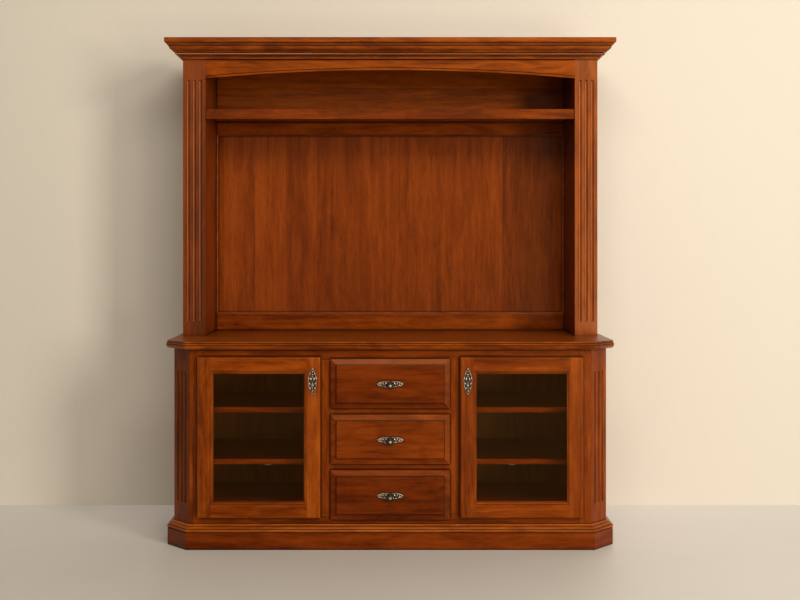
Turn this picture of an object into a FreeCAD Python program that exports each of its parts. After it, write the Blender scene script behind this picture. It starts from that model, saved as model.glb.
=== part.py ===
import FreeCAD, Part
import math
import os

# Entertainment centre in two pieces: a base cabinet with two glazed doors and three drawers,
# and an open hutch that stands on its worktop. Millimetres, +Z up, the front faces -Y, and the
# origin is on the floor under the middle of the whole outline.

# Case
CASE_WIDTH = 1615.0
BASE_DEPTH = 531.0
COUNTER_HEIGHT = 762.0
OVERALL_HEIGHT = 1914.7
BOARD = 20.0
PANEL = 19.0
CORNER_CANT = 68.0
BACK_INSET = 9.0
BASE_BACK_THICK = 6.0
CABLE_HOLE_RADIUS = 30.0
CABLE_HOLE_HEIGHT = 230.0

# Worktop
COUNTER_THICK = 30.0
COUNTER_OVERHANG = 28.5
COUNTER_EDGE = 16.0
COUNTER_EDGE_SHARES = [(1.25, 1.2), (1.25, -0.2), (0.06, -0.2), (0.06, 0.0), (0.74, 0.14, 1.0, 0.47),
                       (0.86, 0.48), (0.86, 0.54), (0.95, 0.63, 0.82, 0.73), (0.70, 0.74), (0.70, 0.80),
                       (0.76, 0.90, 0.58, 1.0), (0.58, 1.2)]

# Plinth, five mitred boards under five lengths of cap moulding
PLINTH_REACH = 23.5
PLINTH_HEIGHT = 62.0
PLINTH_CAP_HEIGHT = 28.0
PLINTH_CAP_REACH = 25.5
PLINTH_CAP_SHARES = [(0.0, 0.0), (0.76, 0.0), (0.76, 0.15), (0.95, 0.15), (1.0, 0.27, 0.95, 0.40),
                     (0.80, 0.40), (0.80, 0.50), (0.68, 0.50), (0.60, 0.62, 0.50, 0.70), (0.36, 0.70),
                     (0.36, 0.80), (0.20, 0.86, 0.12, 1.0), (0.0, 1.0)]

# Face frame, and what the doors and drawers leave of it
STILE_SHOW = 31.0
MULLION_SHOW = 37.5
TOP_RAIL_SHOW = 27.0
OVERLAY = 13.0
FRONT_GAP = 0.8
DOOR_BOTTOM = 114.5
FRAME_FOOT = 40.0

# Flutes: stopped hollows in the pilasters and in the canted corner posts
FLUTE_WIDTH = 12.0
FLUTE_DEPTH = 4.5
FLUTE_PITCH = 23.7
FLUTE_COUNT = 3
POST_FLUTE_RISE = 160.0
POST_FLUTE_DROP = 82.0
PILASTER_FLUTE_RISE = 53.0
PILASTER_FLUTE_DROP = 80.0

# Doors
DOOR_STILE = 60.0
DOOR_TOP_RAIL = 61.5
DOOR_BOTTOM_RAIL = 61.5
DOOR_EDGE = 7.0
DOOR_EDGE_SHARES = [(0.3, 0.3), (-1.0, 0.3), (-1.0, -0.1), (-0.34, -0.26, 0.0, -0.8), (0.3, -0.8)]
STICKING_WIDTH = 10.5
STICKING_SHARES = [(-0.2, 0.2), (-0.2, -0.5), (0.34, -0.5), (0.34, -0.42), (0.46, -0.22, 0.86, -0.16),
                   (1.0, -0.16), (1.0, 0.2)]
RABBET_WIDTH = 9.0
RABBET_DEPTH = 12.0
GLASS_THICK = 3.0
GLASS_SIDE_CLEARANCE = 1.0
GLASS_STOP_WIDTH = 8.0
GLASS_STOP_DEPTH = 8.0

# Concealed hinges: a cup let into each door, an arm on the edge of the face frame
HINGE_CUP_RADIUS = 17.5
HINGE_CUP_DEPTH = 12.0
HINGE_CUP_WALL = 1.2
HINGE_CUP_INSET = 22.0
HINGE_END_DISTANCE = 90.0
HINGE_ARM_WIDTH = 12.0
HINGE_ARM_HEIGHT = 14.0
HINGE_ARM_REACH = 8.0
HINGE_PLATE_HEIGHT = 48.0
HINGE_PLATE_THICK = 2.5

# Rubber pads that the closed doors come to rest on
BUMPER_RADIUS = 5.0
BUMPER_THICK = 0.5
BUMPER_END_DISTANCE = 40.0

# Drawers
DRAWER_WIDTH = 438.0
DRAWER_NAMES = ["bottom", "middle", "top"]
DRAWER_COUNT = len(DRAWER_NAMES)
DRAWER_GAP = 23.0
DRAWER_DROP = 7.0
DRAWER_EDGE_THICK = 8.0
DRAWER_BEVEL_WIDTH = 22.0
DRAWER_FIELD_STEP = 3.5
DRAWER_SIDE = 14.0
DRAWER_BOX_REAR_GAP = 71.8
DRAWER_BOX_DROP = 33.5
DRAWER_BOX_LIFT = 14.0
DRAWER_SIDE_CLEARANCE = 2.0
DRAWER_BOTTOM_THICK = 6.0
DRAWER_BOTTOM_LIFT = 12.0
DRAWER_GROOVE = 6.0
RUNNER_HEIGHT = 18.0
RUNNER_REACH = 8.5
RUNNER_GROOVE_DEPTH = 7.0
RUNNER_TOP_CLEARANCE = 0.3
RUNNER_BOTTOM_CLEARANCE = 0.7
RUNNER_REAR_GAP = 20.0
RUNNER_LIFT_SHARE = 0.5

# Shelves behind the doors, on pegs
SHELF_RISE_SHARES = [0.32861, 0.67228]
SHELF_POST_CLEARANCE = 3.5
SHELF_SIDE_CLEARANCE = 0.5
SHELF_REAR_GAP = 12.0
PEG_RADIUS = 2.5
PEG_DEPTH = 9.0
PEG_REACH = 10.0
PEG_EDGE_DISTANCE = 60.0

# Hutch
HUTCH_DEPTH = 291.5
PILASTER_WIDTH = 87.6
HUTCH_TOP_DROP = 6.0
UPPER_BAY_HEIGHT = 194.5
HUTCH_SHELF_THICK = 22.0
HUTCH_SHELF_NOSE = 38.5
HUTCH_NOSE_SETBACK = 3.0
HEADER_END_HEIGHT = 142.7
ARCH_RISE = 32.0
ARCH_BEAD_WIDTH = 6.5
ARCH_QUIRK_WIDTH = 3.0
ARCH_QUIRK_DEPTH = 3.5
BACK_BOTTOM_RAIL = 67.0
BACK_TOP_RAIL = 52.0
BACK_TOP_RAIL_DROP = 19.5
BACK_PANEL_THICK = 12.0
BACK_BEAD = 8.5
BACK_BEAD_SHARES = [(0.0, 0.0), (0.0, 0.85), (-0.2, 0.85), (-0.78, 0.62, -1.0, 0.1), (-1.0, 0.0)]
UPPER_BACK_THICK = 12.0

# Cornice and the small bead under it
CORNICE_HEIGHT = 74.7
CORNICE_REACH = 61.6
CORNICE_SHARES = [(0.0, 0.0), (0.15, 0.0), (0.15, 0.087), (0.20, 0.14, 0.31, 0.16), (0.34, 0.16),
                  (0.34, 0.31), (0.50, 0.31), (0.52, 0.37), (0.69, 0.44, 0.76, 0.60), (0.76, 0.635),
                  (0.86, 0.635), (0.86, 0.69), (0.90, 0.735, 0.985, 0.75), (1.0, 0.76), (1.0, 0.97),
                  (0.975, 1.0), (0.0, 1.0)]
BEAD_SEAT_SHARE = 0.34
BEAD_HEIGHT_SHARES = (0.175, 0.285)
BEAD_REACH = 5.5

# Pulls
PULL_PLATE_THICK = 2.6
DRAWER_PULL_LENGTH = 100.0
DRAWER_PULL_HEIGHT = 25.0
DRAWER_KNOB_RADIUS = 14.0
DRAWER_KNOB_REACH = 24.0
DRAWER_PULL_SHARES = [(0.0, 0.30), (0.10, 0.46, 0.20, 0.40), (0.26, 0.30), (0.36, 0.50, 0.50, 0.40),
                      (0.58, 0.26), (0.70, 0.34, 0.82, 0.22), (0.92, 0.12, 1.0, 0.0)]
DRAWER_PULL_HOLE_SHARES = [(0.40, 0.0, 0.17), (0.60, 0.0, 0.11), (0.76, 0.0, 0.08)]
KNOB_SHARES = [(0.0, 0.0), (0.46, 0.0), (0.46, 0.10), (0.27, 0.24, 0.32, 0.42), (0.64, 0.50),
               (0.98, 0.66, 0.78, 0.86), (0.52, 0.96, 0.14, 1.0), (0.0, 1.0)]
DOOR_PULL_LENGTH = 100.0
DOOR_PULL_WIDTH = 33.0
DOOR_PULL_DROP = 38.0
DOOR_PULL_INSET = 28.0
DOOR_PULL_BOSS_DROP_SHARE = 0.26
DOOR_PULL_BOSS_RADIUS = 6.5
DOOR_PULL_BOSS_REACH = 9.0
DOOR_PULL_SHARES = [(0.0, -0.5), (0.34, -0.30, 0.5, 0.0), (0.34, 0.30, 0.0, 0.5)]
DOOR_PULL_HOLE_SHARES = [(0.0, 0.33, 0.040), (0.0, -0.33, 0.040), (0.17, 0.21, 0.042), (0.17, -0.21, 0.042),
                         (0.23, 0.05, 0.034), (0.23, -0.09, 0.034)]

# Steel plates that join the hutch to the base at the back
PLATE_WIDTH = 15.0
PLATE_LENGTH = 110.0
PLATE_THICK = 2.0
PLATE_RISE_SHARE = 0.5
SCREW_RADIUS = 2.0
SCREW_HEAD_RADIUS = 3.6
SCREW_HEAD = 1.2
SCREW_LENGTH = 16.0
SCREW_PLACES_SHARES = [0.10, 0.34, 0.66, 0.90]

# Overrun of every cutter past the face that it leaves, reach of the mitre cutters, and the
# distance under which two points of an outline are one
OVERRUN = 5.0
MITRE_REACH = 160.0
POINT_TOLERANCE = 1e-6

# Places that follow from the sizes above
HALF = CASE_WIDTH / 2
FRONT_REACH = FRONT_GAP + BOARD + PULL_PLATE_THICK + DRAWER_KNOB_REACH
REAR_REACH = PLATE_THICK + SCREW_HEAD
FACE_Y = (FRONT_REACH - BASE_DEPTH - REAR_REACH) / 2
REAR_Y = FACE_Y + BASE_DEPTH
FRAME_BACK_Y = FACE_Y + BOARD
ARRIS_X = HALF - CORNER_CANT
CANT_Y = FACE_Y + CORNER_CANT
COUNTER_UNDER = COUNTER_HEIGHT - COUNTER_THICK
DOOR_OUTER_X = ARRIS_X - STILE_SHOW
DOOR_INNER_X = DRAWER_WIDTH / 2 + MULLION_SHOW
DOOR_TOP = COUNTER_UNDER - TOP_RAIL_SHOW
DOOR_HEIGHT = DOOR_TOP - DOOR_BOTTOM
DOOR_BACK_Y = FACE_Y - FRONT_GAP
OPENING_BOTTOM = DOOR_BOTTOM + OVERLAY
OPENING_TOP = DOOR_TOP - OVERLAY
OPENING_OUTER_X = DOOR_OUTER_X - OVERLAY
MULLION_OUTER_X = DOOR_INNER_X + OVERLAY
MULLION_INNER_X = DRAWER_WIDTH / 2 - OVERLAY
DRAWER_HEIGHT = (DOOR_HEIGHT - (DRAWER_COUNT - 1) * DRAWER_GAP) / DRAWER_COUNT
BAY_OUTER_X = HALF - BOARD
BAY_INNER_X = MULLION_INNER_X + PANEL
BASE_BACK_Y = REAR_Y - BACK_INSET - BASE_BACK_THICK
DRAWER_BOX_DEPTH = BASE_BACK_Y - DRAWER_BOX_REAR_GAP - DOOR_BACK_Y
DRAWER_BOX_HEIGHT = DRAWER_HEIGHT - OVERLAY - DRAWER_BOX_LIFT - DRAWER_BOX_DROP
POST_FLUTE_TOP = COUNTER_UNDER - POST_FLUTE_DROP
SHELF_TOPS = [OPENING_BOTTOM + share * (OPENING_TOP - OPENING_BOTTOM) for share in SHELF_RISE_SHARES]
HUTCH_Y = REAR_Y - HUTCH_DEPTH
HUTCH_BOARD_Y = HUTCH_Y + BOARD
HUTCH_INNER_X = HALF - PILASTER_WIDTH
HUTCH_PANEL_Y = REAR_Y - BACK_INSET - BACK_PANEL_THICK
HUTCH_BACK_Y = HUTCH_PANEL_Y - BACK_BEAD
CORNICE_BOTTOM = OVERALL_HEIGHT - CORNICE_HEIGHT
PILASTER_FLUTE_TOP = CORNICE_BOTTOM - PILASTER_FLUTE_DROP
HUTCH_CASE_TOP = OVERALL_HEIGHT - HUTCH_TOP_DROP
ARCH_END_HEIGHT = HUTCH_CASE_TOP - HEADER_END_HEIGHT
HUTCH_SHELF_TOP = CORNICE_BOTTOM - UPPER_BAY_HEIGHT
BACK_TOP_RAIL_TOP = HUTCH_SHELF_TOP - BACK_TOP_RAIL_DROP
BACK_TOP_RAIL_BOTTOM = BACK_TOP_RAIL_TOP - BACK_TOP_RAIL
BACK_RAIL_TOP = COUNTER_HEIGHT + BACK_BOTTOM_RAIL
PLATE_X = PANEL / 2 - HALF
PLATE_LOW = COUNTER_HEIGHT - PLATE_LENGTH * PLATE_RISE_SHARE

RIGHT_ANGLE = 90.0
FULL_TURN = 360.0
CANT_TURN_SHARE = math.tan(math.radians(RIGHT_ANGLE / 4))
SHELF_FRONT_Y = CANT_Y + BOARD * CANT_TURN_SHARE + SHELF_POST_CLEARANCE
SHELF_REAR_Y = BASE_BACK_Y - SHELF_REAR_GAP

X_AXIS = FreeCAD.Vector(1, 0, 0)
Y_AXIS = FreeCAD.Vector(0, 1, 0)
Z_AXIS = FreeCAD.Vector(0, 0, 1)
ORIGIN = FreeCAD.Vector(0, 0, 0)


def block(x0, x1, y0, y1, z0, z1):
    """A board between two corners."""
    corner = FreeCAD.Vector(min(x0, x1), min(y0, y1), min(z0, z1))
    return Part.makeBox(abs(x1 - x0), abs(y1 - y0), abs(z1 - z0), corner)


def outline_face(steps, place):
    """A face bounded by steps: (a, b) runs straight there, (a, b, c, d) arcs through (a, b) to (c, d)."""
    here = place(*steps[0][-2:])
    edges = []
    for step in list(steps[1:]) + [steps[0][-2:]]:
        there = place(*step[-2:])
        if len(step) > 2:
            edges.append(Part.Arc(here, place(*step[:2]), there).toShape())
        elif not there.isEqual(here, POINT_TOLERANCE):
            edges.append(Part.LineSegment(here, there).toShape())
        here = there
    return Part.Face(Part.Wire(edges))


def scaled(shares, across, up):
    """Steps written as shares of two sizes, as real steps."""
    sizes = (across, up, across, up)
    return [tuple(share * size for share, size in zip(step, sizes)) for step in shares]


def prism(points, z0, z1):
    """A plan outline, given as steps, between two heights."""
    face = outline_face(points, lambda a, b: FreeCAD.Vector(a, b, z0))
    return face.extrude(Z_AXIS * (z1 - z0))


def mirrored(shape):
    """The same piece on the other side of the cabinet."""
    return shape.mirror(ORIGIN, X_AXIS)


def stood_up(shape, rear_y):
    """A piece drawn flat, X by height, and stood up with its underside on the plane y = rear_y."""
    turned = shape.copy()
    turned.rotate(ORIGIN, X_AXIS, RIGHT_ANGLE)
    turned.translate(Y_AXIS * rear_y)
    return turned


def fused(pieces):
    """One solid from pieces that touch."""
    whole = pieces[0].multiFuse(pieces[1:]) if len(pieces) > 1 else pieces[0]
    return whole.removeSplitter()


def save(name, pieces):
    """Writes one node: a single solid, or a group of separate solids."""
    shape = pieces[0] if len(pieces) == 1 else Part.makeCompound(pieces)
    shape.exportStep("parts/" + name + ".step")


def mitre_vectors(path, closed):
    """For each corner of a plan path, the way along which its mitre runs, one unit of reach long."""
    count = len(path)
    spans = count if closed else count - 1
    normals = []
    for index in range(spans):
        along = path[(index + 1) % count] - path[index]
        along.normalize()
        normals.append(along.cross(Z_AXIS))
    vectors = []
    for index in range(count):
        before = normals[(index - 1) % spans] if closed or index > 0 else normals[0]
        after = normals[index % spans] if closed or index < spans else normals[-1]
        vectors.append((before + after) / (1 + before.dot(after)))
    return normals, vectors


def mitred_runs(corners, steps, closed=False):
    """Lengths of moulding along a plan path, whose outside is on the right, mitred at the corners.

    steps is the section, as outward reach by height.
    """
    path = [FreeCAD.Vector(x, y, 0) for x, y in corners]
    normals, vectors = mitre_vectors(path, closed)
    low = min(min(step[1::2]) for step in steps) - OVERRUN
    high = max(max(step[1::2]) for step in steps) + OVERRUN
    near = min(min(step[0::2]) for step in steps) - OVERRUN
    far = max(max(step[0::2]) for step in steps) + OVERRUN
    runs = []
    for index, normal in enumerate(normals):
        start = path[index]
        finish = path[(index + 1) % len(path)]
        first = vectors[index]
        last = vectors[(index + 1) % len(path)]
        along = (finish - start).normalize()
        origin = start - along * MITRE_REACH
        face = outline_face(steps, lambda a, b: origin + normal * a + Z_AXIS * b)
        bar = face.extrude(finish + along * MITRE_REACH - origin)
        inner = [start + first * near, finish + last * near]
        outer = [finish + last * far, start + first * far]
        trim = prism([(corner.x, corner.y) for corner in inner + outer], low, high)
        runs.append(bar.common(trim).Solids[0])
    return runs


def flute(x, y, radius, z0, z1):
    """The cutter for one stopped flute: an upright rod with round ends."""
    low = FreeCAD.Vector(x, y, z0 + radius)
    rod = Part.makeCylinder(radius, z1 - z0 - 2 * radius, low)
    ends = [Part.makeSphere(radius, low), Part.makeSphere(radius, FreeCAD.Vector(x, y, z1 - radius))]
    return rod.multiFuse(ends)


def fluted(board, middle, along, outward, z0, z1):
    """A board with its row of flutes cut about the plan point middle, side by side along the face."""
    radius = (FLUTE_WIDTH ** 2 / 4 + FLUTE_DEPTH ** 2) / (2 * FLUTE_DEPTH)
    cutters = []
    for index in range(FLUTE_COUNT):
        offset = (index - (FLUTE_COUNT - 1) / 2) * FLUTE_PITCH
        place = middle + along * offset + outward * (radius - FLUTE_DEPTH)
        cutters.append(flute(place.x, place.y, radius, z0, z1))
    return board.cut(cutters)


def case_plan(inset):
    """Plan corners of the base's outside, moved inwards by inset, from the rear left to the rear right."""
    turn = inset * CANT_TURN_SHARE
    left = [(-HALF + inset, REAR_Y), (-HALF + inset, CANT_Y + turn), (-ARRIS_X + turn, FACE_Y + inset)]
    return left + [(-x, y) for x, y in reversed(left)]


def make_side_panel():
    """The left side of the base, mitred to the corner post."""
    outer = case_plan(0)
    inner = case_plan(BOARD)
    shape = prism([outer[0], outer[1], inner[1], inner[0]], 0, COUNTER_UNDER)
    return shape.cut(peg_cutters(-BAY_OUTER_X, -PEG_DEPTH) + make_left_screws())


def make_corner_post():
    """The left canted post, with three stopped flutes."""
    outer = case_plan(0)
    inner = case_plan(BOARD)
    board = prism([outer[2], outer[1], inner[1], inner[2]], 0, COUNTER_UNDER)
    along = FreeCAD.Vector(outer[2][0] - outer[1][0], outer[2][1] - outer[1][1], 0).normalize()
    middle = FreeCAD.Vector((outer[1][0] + outer[2][0]) / 2, (outer[1][1] + outer[2][1]) / 2, 0)
    return fluted(board, middle, along, along.cross(Z_AXIS), POST_FLUTE_RISE, POST_FLUTE_TOP)


def make_stile():
    """The left stile of the face frame, mitred to the corner post."""
    outer = case_plan(0)
    inner = case_plan(BOARD)
    return prism([outer[2], inner[2], (-OPENING_OUTER_X, FRAME_BACK_Y), (-OPENING_OUTER_X, FACE_Y)],
                 0, COUNTER_UNDER)


def make_mullion():
    """The left mullion, between a door and the drawers."""
    return block(-MULLION_OUTER_X, -MULLION_INNER_X, FACE_Y, FRAME_BACK_Y, OPENING_BOTTOM, OPENING_TOP)


def drawer_low(index):
    """Height of the underside of a drawer front, counted from the bottom drawer."""
    return DOOR_BOTTOM - DRAWER_DROP + index * (DRAWER_HEIGHT + DRAWER_GAP)


def make_frame_rails():
    """Top rail, bottom rail and the rails between the drawers."""
    rails = [block(-OPENING_OUTER_X, OPENING_OUTER_X, FACE_Y, FRAME_BACK_Y, OPENING_TOP, COUNTER_UNDER),
             block(-OPENING_OUTER_X, OPENING_OUTER_X, FACE_Y, FRAME_BACK_Y, FRAME_FOOT, OPENING_BOTTOM)]
    for index in range(1, DRAWER_COUNT):
        low = drawer_low(index)
        rails.append(block(-MULLION_INNER_X, MULLION_INNER_X, FACE_Y, FRAME_BACK_Y,
                           low - DRAWER_GAP - OVERLAY, low + OVERLAY))
    return rails


def make_floor():
    """The board that the compartments stand over, clipped behind the canted posts."""
    plan = [(x, min(y, BASE_BACK_Y)) for x, y in case_plan(BOARD)]
    return prism(plan, OPENING_BOTTOM - PANEL, OPENING_BOTTOM)


def peg_places():
    """Depth and height of the shelf pegs on one wall."""
    depths = [SHELF_FRONT_Y + PEG_EDGE_DISTANCE, SHELF_REAR_Y - PEG_EDGE_DISTANCE]
    return [(y, top - PANEL - PEG_RADIUS) for top in SHELF_TOPS for y in depths]


def peg_cutters(x, reach):
    """Rods as long as the pegs, from a wall at x."""
    way = X_AXIS if reach > 0 else -X_AXIS
    return [Part.makeCylinder(PEG_RADIUS, abs(reach), FreeCAD.Vector(x, y, z), way) for y, z in peg_places()]


def make_partition():
    """The left wall of the drawer bay, with the peg holes of the compartment beside it."""
    shape = block(-BAY_INNER_X, -MULLION_INNER_X, FRAME_BACK_Y, BASE_BACK_Y, OPENING_BOTTOM, COUNTER_UNDER)
    return shape.cut(peg_cutters(-BAY_INNER_X, PEG_DEPTH))


def make_base_back():
    """The thin back of the base, with a round cable hole behind each door."""
    rear = BASE_BACK_Y + BASE_BACK_THICK
    sheet = block(-BAY_OUTER_X, BAY_OUTER_X, BASE_BACK_Y, rear, FRAME_FOOT, COUNTER_UNDER)
    middle = (BAY_OUTER_X + BAY_INNER_X) / 2
    for x in (-middle, middle):
        start = FreeCAD.Vector(x, BASE_BACK_Y - OVERRUN, CABLE_HOLE_HEIGHT)
        sheet = sheet.cut(Part.makeCylinder(CABLE_HOLE_RADIUS, BASE_BACK_THICK + 2 * OVERRUN, start, Y_AXIS))
    return sheet


def make_shelves():
    """Two loose shelves behind each door."""
    shelves = []
    for top in SHELF_TOPS:
        left = block(-BAY_OUTER_X + SHELF_SIDE_CLEARANCE, -BAY_INNER_X - SHELF_SIDE_CLEARANCE,
                     SHELF_FRONT_Y, SHELF_REAR_Y, top - PANEL, top)
        shelves += [left, mirrored(left)]
    return shelves


def make_pegs():
    """The pegs under the shelves."""
    pegs = []
    length = PEG_DEPTH + PEG_REACH
    for y, z in peg_places():
        for x in (-BAY_OUTER_X - PEG_DEPTH, -BAY_INNER_X - PEG_REACH):
            peg = Part.makeCylinder(PEG_RADIUS, length, FreeCAD.Vector(x, y, z), X_AXIS)
            pegs += [peg, mirrored(peg)]
    return pegs


def make_counter():
    """The worktop, with a moulded edge on the front, the cants and the ends."""
    plan = case_plan(-COUNTER_OVERHANG)
    slab = prism(plan, COUNTER_UNDER, COUNTER_HEIGHT)
    inner = case_plan(COUNTER_EDGE - COUNTER_OVERHANG)
    path = [(inner[0][0], REAR_Y + OVERRUN)] + inner[1:-1] + [(inner[-1][0], REAR_Y + OVERRUN)]
    steps = [tuple(value + (COUNTER_UNDER if place % 2 else 0) for place, value in enumerate(step))
             for step in scaled(COUNTER_EDGE_SHARES, COUNTER_EDGE, COUNTER_THICK)]
    screws = make_left_screws()
    return slab.cut(mitred_runs(path, steps) + screws + [mirrored(screw) for screw in screws])


def make_plinth():
    """The five boards round the foot of the base."""
    steps = [(0, 0), (PLINTH_REACH, 0), (PLINTH_REACH, PLINTH_HEIGHT), (0, PLINTH_HEIGHT)]
    return mitred_runs(case_plan(0), steps)


def make_runners():
    """The hardwood strips on which the drawers run, a pair for each."""
    runners = []
    for index in range(DRAWER_COUNT):
        middle = runner_height(index)
        left = block(-MULLION_INNER_X, -MULLION_INNER_X + RUNNER_REACH, FRAME_BACK_Y,
                     BASE_BACK_Y - RUNNER_REAR_GAP, middle - RUNNER_HEIGHT / 2, middle + RUNNER_HEIGHT / 2)
        runners += [left, mirrored(left)]
    return runners


def box_low(index):
    """Height of the underside of a drawer box."""
    return drawer_low(index) + OVERLAY + DRAWER_BOX_LIFT


def runner_height(index):
    """Height of the middle of a drawer's runners."""
    return box_low(index) + DRAWER_BOX_HEIGHT * RUNNER_LIFT_SHARE


def make_drawer_front(index):
    """A solid front with a raised field inside a wide bevel."""
    half = DRAWER_WIDTH / 2
    low = drawer_low(index)
    high = low + DRAWER_HEIGHT
    edge = block(-half, half, low, high, 0, DRAWER_EDGE_THICK)
    inner = half - DRAWER_BEVEL_WIDTH
    inner_low = low + DRAWER_BEVEL_WIDTH
    inner_high = high - DRAWER_BEVEL_WIDTH
    outer_wire = rectangle(-half, half, low, high, DRAWER_EDGE_THICK)
    inner_wire = rectangle(-inner, inner, inner_low, inner_high, BOARD - DRAWER_FIELD_STEP)
    bevel = Part.makeLoft([outer_wire, inner_wire], True, True)
    field = block(-inner, inner, inner_low, inner_high, DRAWER_EDGE_THICK, BOARD)
    return stood_up(fused([edge, bevel, field]), DOOR_BACK_Y)


def rectangle(x0, x1, y0, y1, z):
    """A flat rectangular wire."""
    corners = [(x0, y0), (x1, y0), (x1, y1), (x0, y1), (x0, y0)]
    return Part.makePolygon([FreeCAD.Vector(x, y, z) for x, y in corners])


def make_drawer_box(index):
    """Sides, inner front, back and bottom of a drawer; the sides are grooved for the runners."""
    half = MULLION_INNER_X - DRAWER_SIDE_CLEARANCE
    inner = half - DRAWER_SIDE
    low = box_low(index)
    high = low + DRAWER_BOX_HEIGHT
    front = DOOR_BACK_Y
    rear = front + DRAWER_BOX_DEPTH
    floor = low + DRAWER_BOTTOM_LIFT
    bottom = block(-inner - DRAWER_GROOVE, inner + DRAWER_GROOVE, front + DRAWER_SIDE - DRAWER_GROOVE,
                   rear - DRAWER_SIDE + DRAWER_GROOVE, floor, floor + DRAWER_BOTTOM_THICK)
    side = block(-half, -inner, front, rear, low, high).cut(bottom)
    middle = runner_height(index)
    side = side.cut(block(-half - OVERRUN, -half + RUNNER_GROOVE_DEPTH, front - OVERRUN, rear + OVERRUN,
                          middle - RUNNER_HEIGHT / 2 - RUNNER_BOTTOM_CLEARANCE,
                          middle + RUNNER_HEIGHT / 2 + RUNNER_TOP_CLEARANCE))
    ends = [block(-inner, inner, y, y + DRAWER_SIDE, low, high).cut(bottom)
            for y in (front, rear - DRAWER_SIDE)]
    return [side, mirrored(side)] + ends, bottom


def revolved(shares, radius, reach, base):
    """A turned piece about the flat drawing's upright axis."""
    face = outline_face(scaled(shares, radius, reach), lambda a, b: FreeCAD.Vector(a, 0, base + b))
    return face.revolve(ORIGIN, Z_AXIS, FULL_TURN)


def plate_half(shares, across, up, base, thick):
    """Half of a symmetrical plate, from its outline right of the middle."""
    face = outline_face(scaled(shares, across, up), lambda a, b: FreeCAD.Vector(a, b, base))
    return face.extrude(Z_AXIS * thick)


def make_drawer_pull(index):
    """A cast back plate with pierced wings, and the bud-shaped knob at its middle."""
    quarter = plate_half([(0.0, 0.0)] + DRAWER_PULL_SHARES, DRAWER_PULL_LENGTH / 2, DRAWER_PULL_HEIGHT,
                         BOARD, PULL_PLATE_THICK)
    half = fused([quarter, quarter.mirror(ORIGIN, Y_AXIS)])
    plate = fused([half, mirrored(half)])
    for x, y, size in DRAWER_PULL_HOLE_SHARES:
        for way in (-1, 1):
            place = FreeCAD.Vector(way * x * DRAWER_PULL_LENGTH / 2, y * DRAWER_PULL_HEIGHT, BOARD - OVERRUN)
            depth = 2 * OVERRUN + PULL_PLATE_THICK
            plate = plate.cut(Part.makeCylinder(size * DRAWER_PULL_HEIGHT, depth, place))
    knob = revolved(KNOB_SHARES, DRAWER_KNOB_RADIUS, DRAWER_KNOB_REACH, BOARD + PULL_PLATE_THICK)
    rise = Z_AXIS * (drawer_low(index) + DRAWER_HEIGHT / 2)
    pieces = []
    for piece in (plate, knob):
        piece = stood_up(piece, DOOR_BACK_Y)
        piece.translate(rise)
        pieces.append(piece)
    return pieces


def sight_line():
    """The left door's glass opening as seen from the front: left, right, low and high."""
    return (-DOOR_OUTER_X + DOOR_STILE, -DOOR_INNER_X - DOOR_STILE,
            DOOR_BOTTOM + DOOR_BOTTOM_RAIL, DOOR_TOP - DOOR_TOP_RAIL)


def around(limits, margin):
    """The corners of a rectangle moved outwards by margin, so that its outside is on the right."""
    left, right, low, high = limits
    return [(left - margin, low - margin), (right + margin, low - margin),
            (right + margin, high + margin), (left - margin, high + margin)]


def stile_plan(outer, flat, sight):
    """Face outline of a stile: straight joints with the rails, mitred across the sticking."""
    low, high = sight_line()[2:]
    return [(outer, DOOR_BOTTOM), (flat, DOOR_BOTTOM), (flat, low - STICKING_WIDTH), (sight, low),
            (sight, high), (flat, high + STICKING_WIDTH), (flat, DOOR_TOP), (outer, DOOR_TOP)]


def face_steps(shares, size):
    """A section of a moulded edge, from shares of one size, measured down from the face of a board."""
    return [tuple(value + (BOARD if place % 2 else 0) for place, value in enumerate(step))
            for step in scaled(shares, size, size)]


def hinge_heights():
    """Heights of the two hinges of a door."""
    return (DOOR_BOTTOM + HINGE_END_DISTANCE, DOOR_TOP - HINGE_END_DISTANCE)


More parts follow.
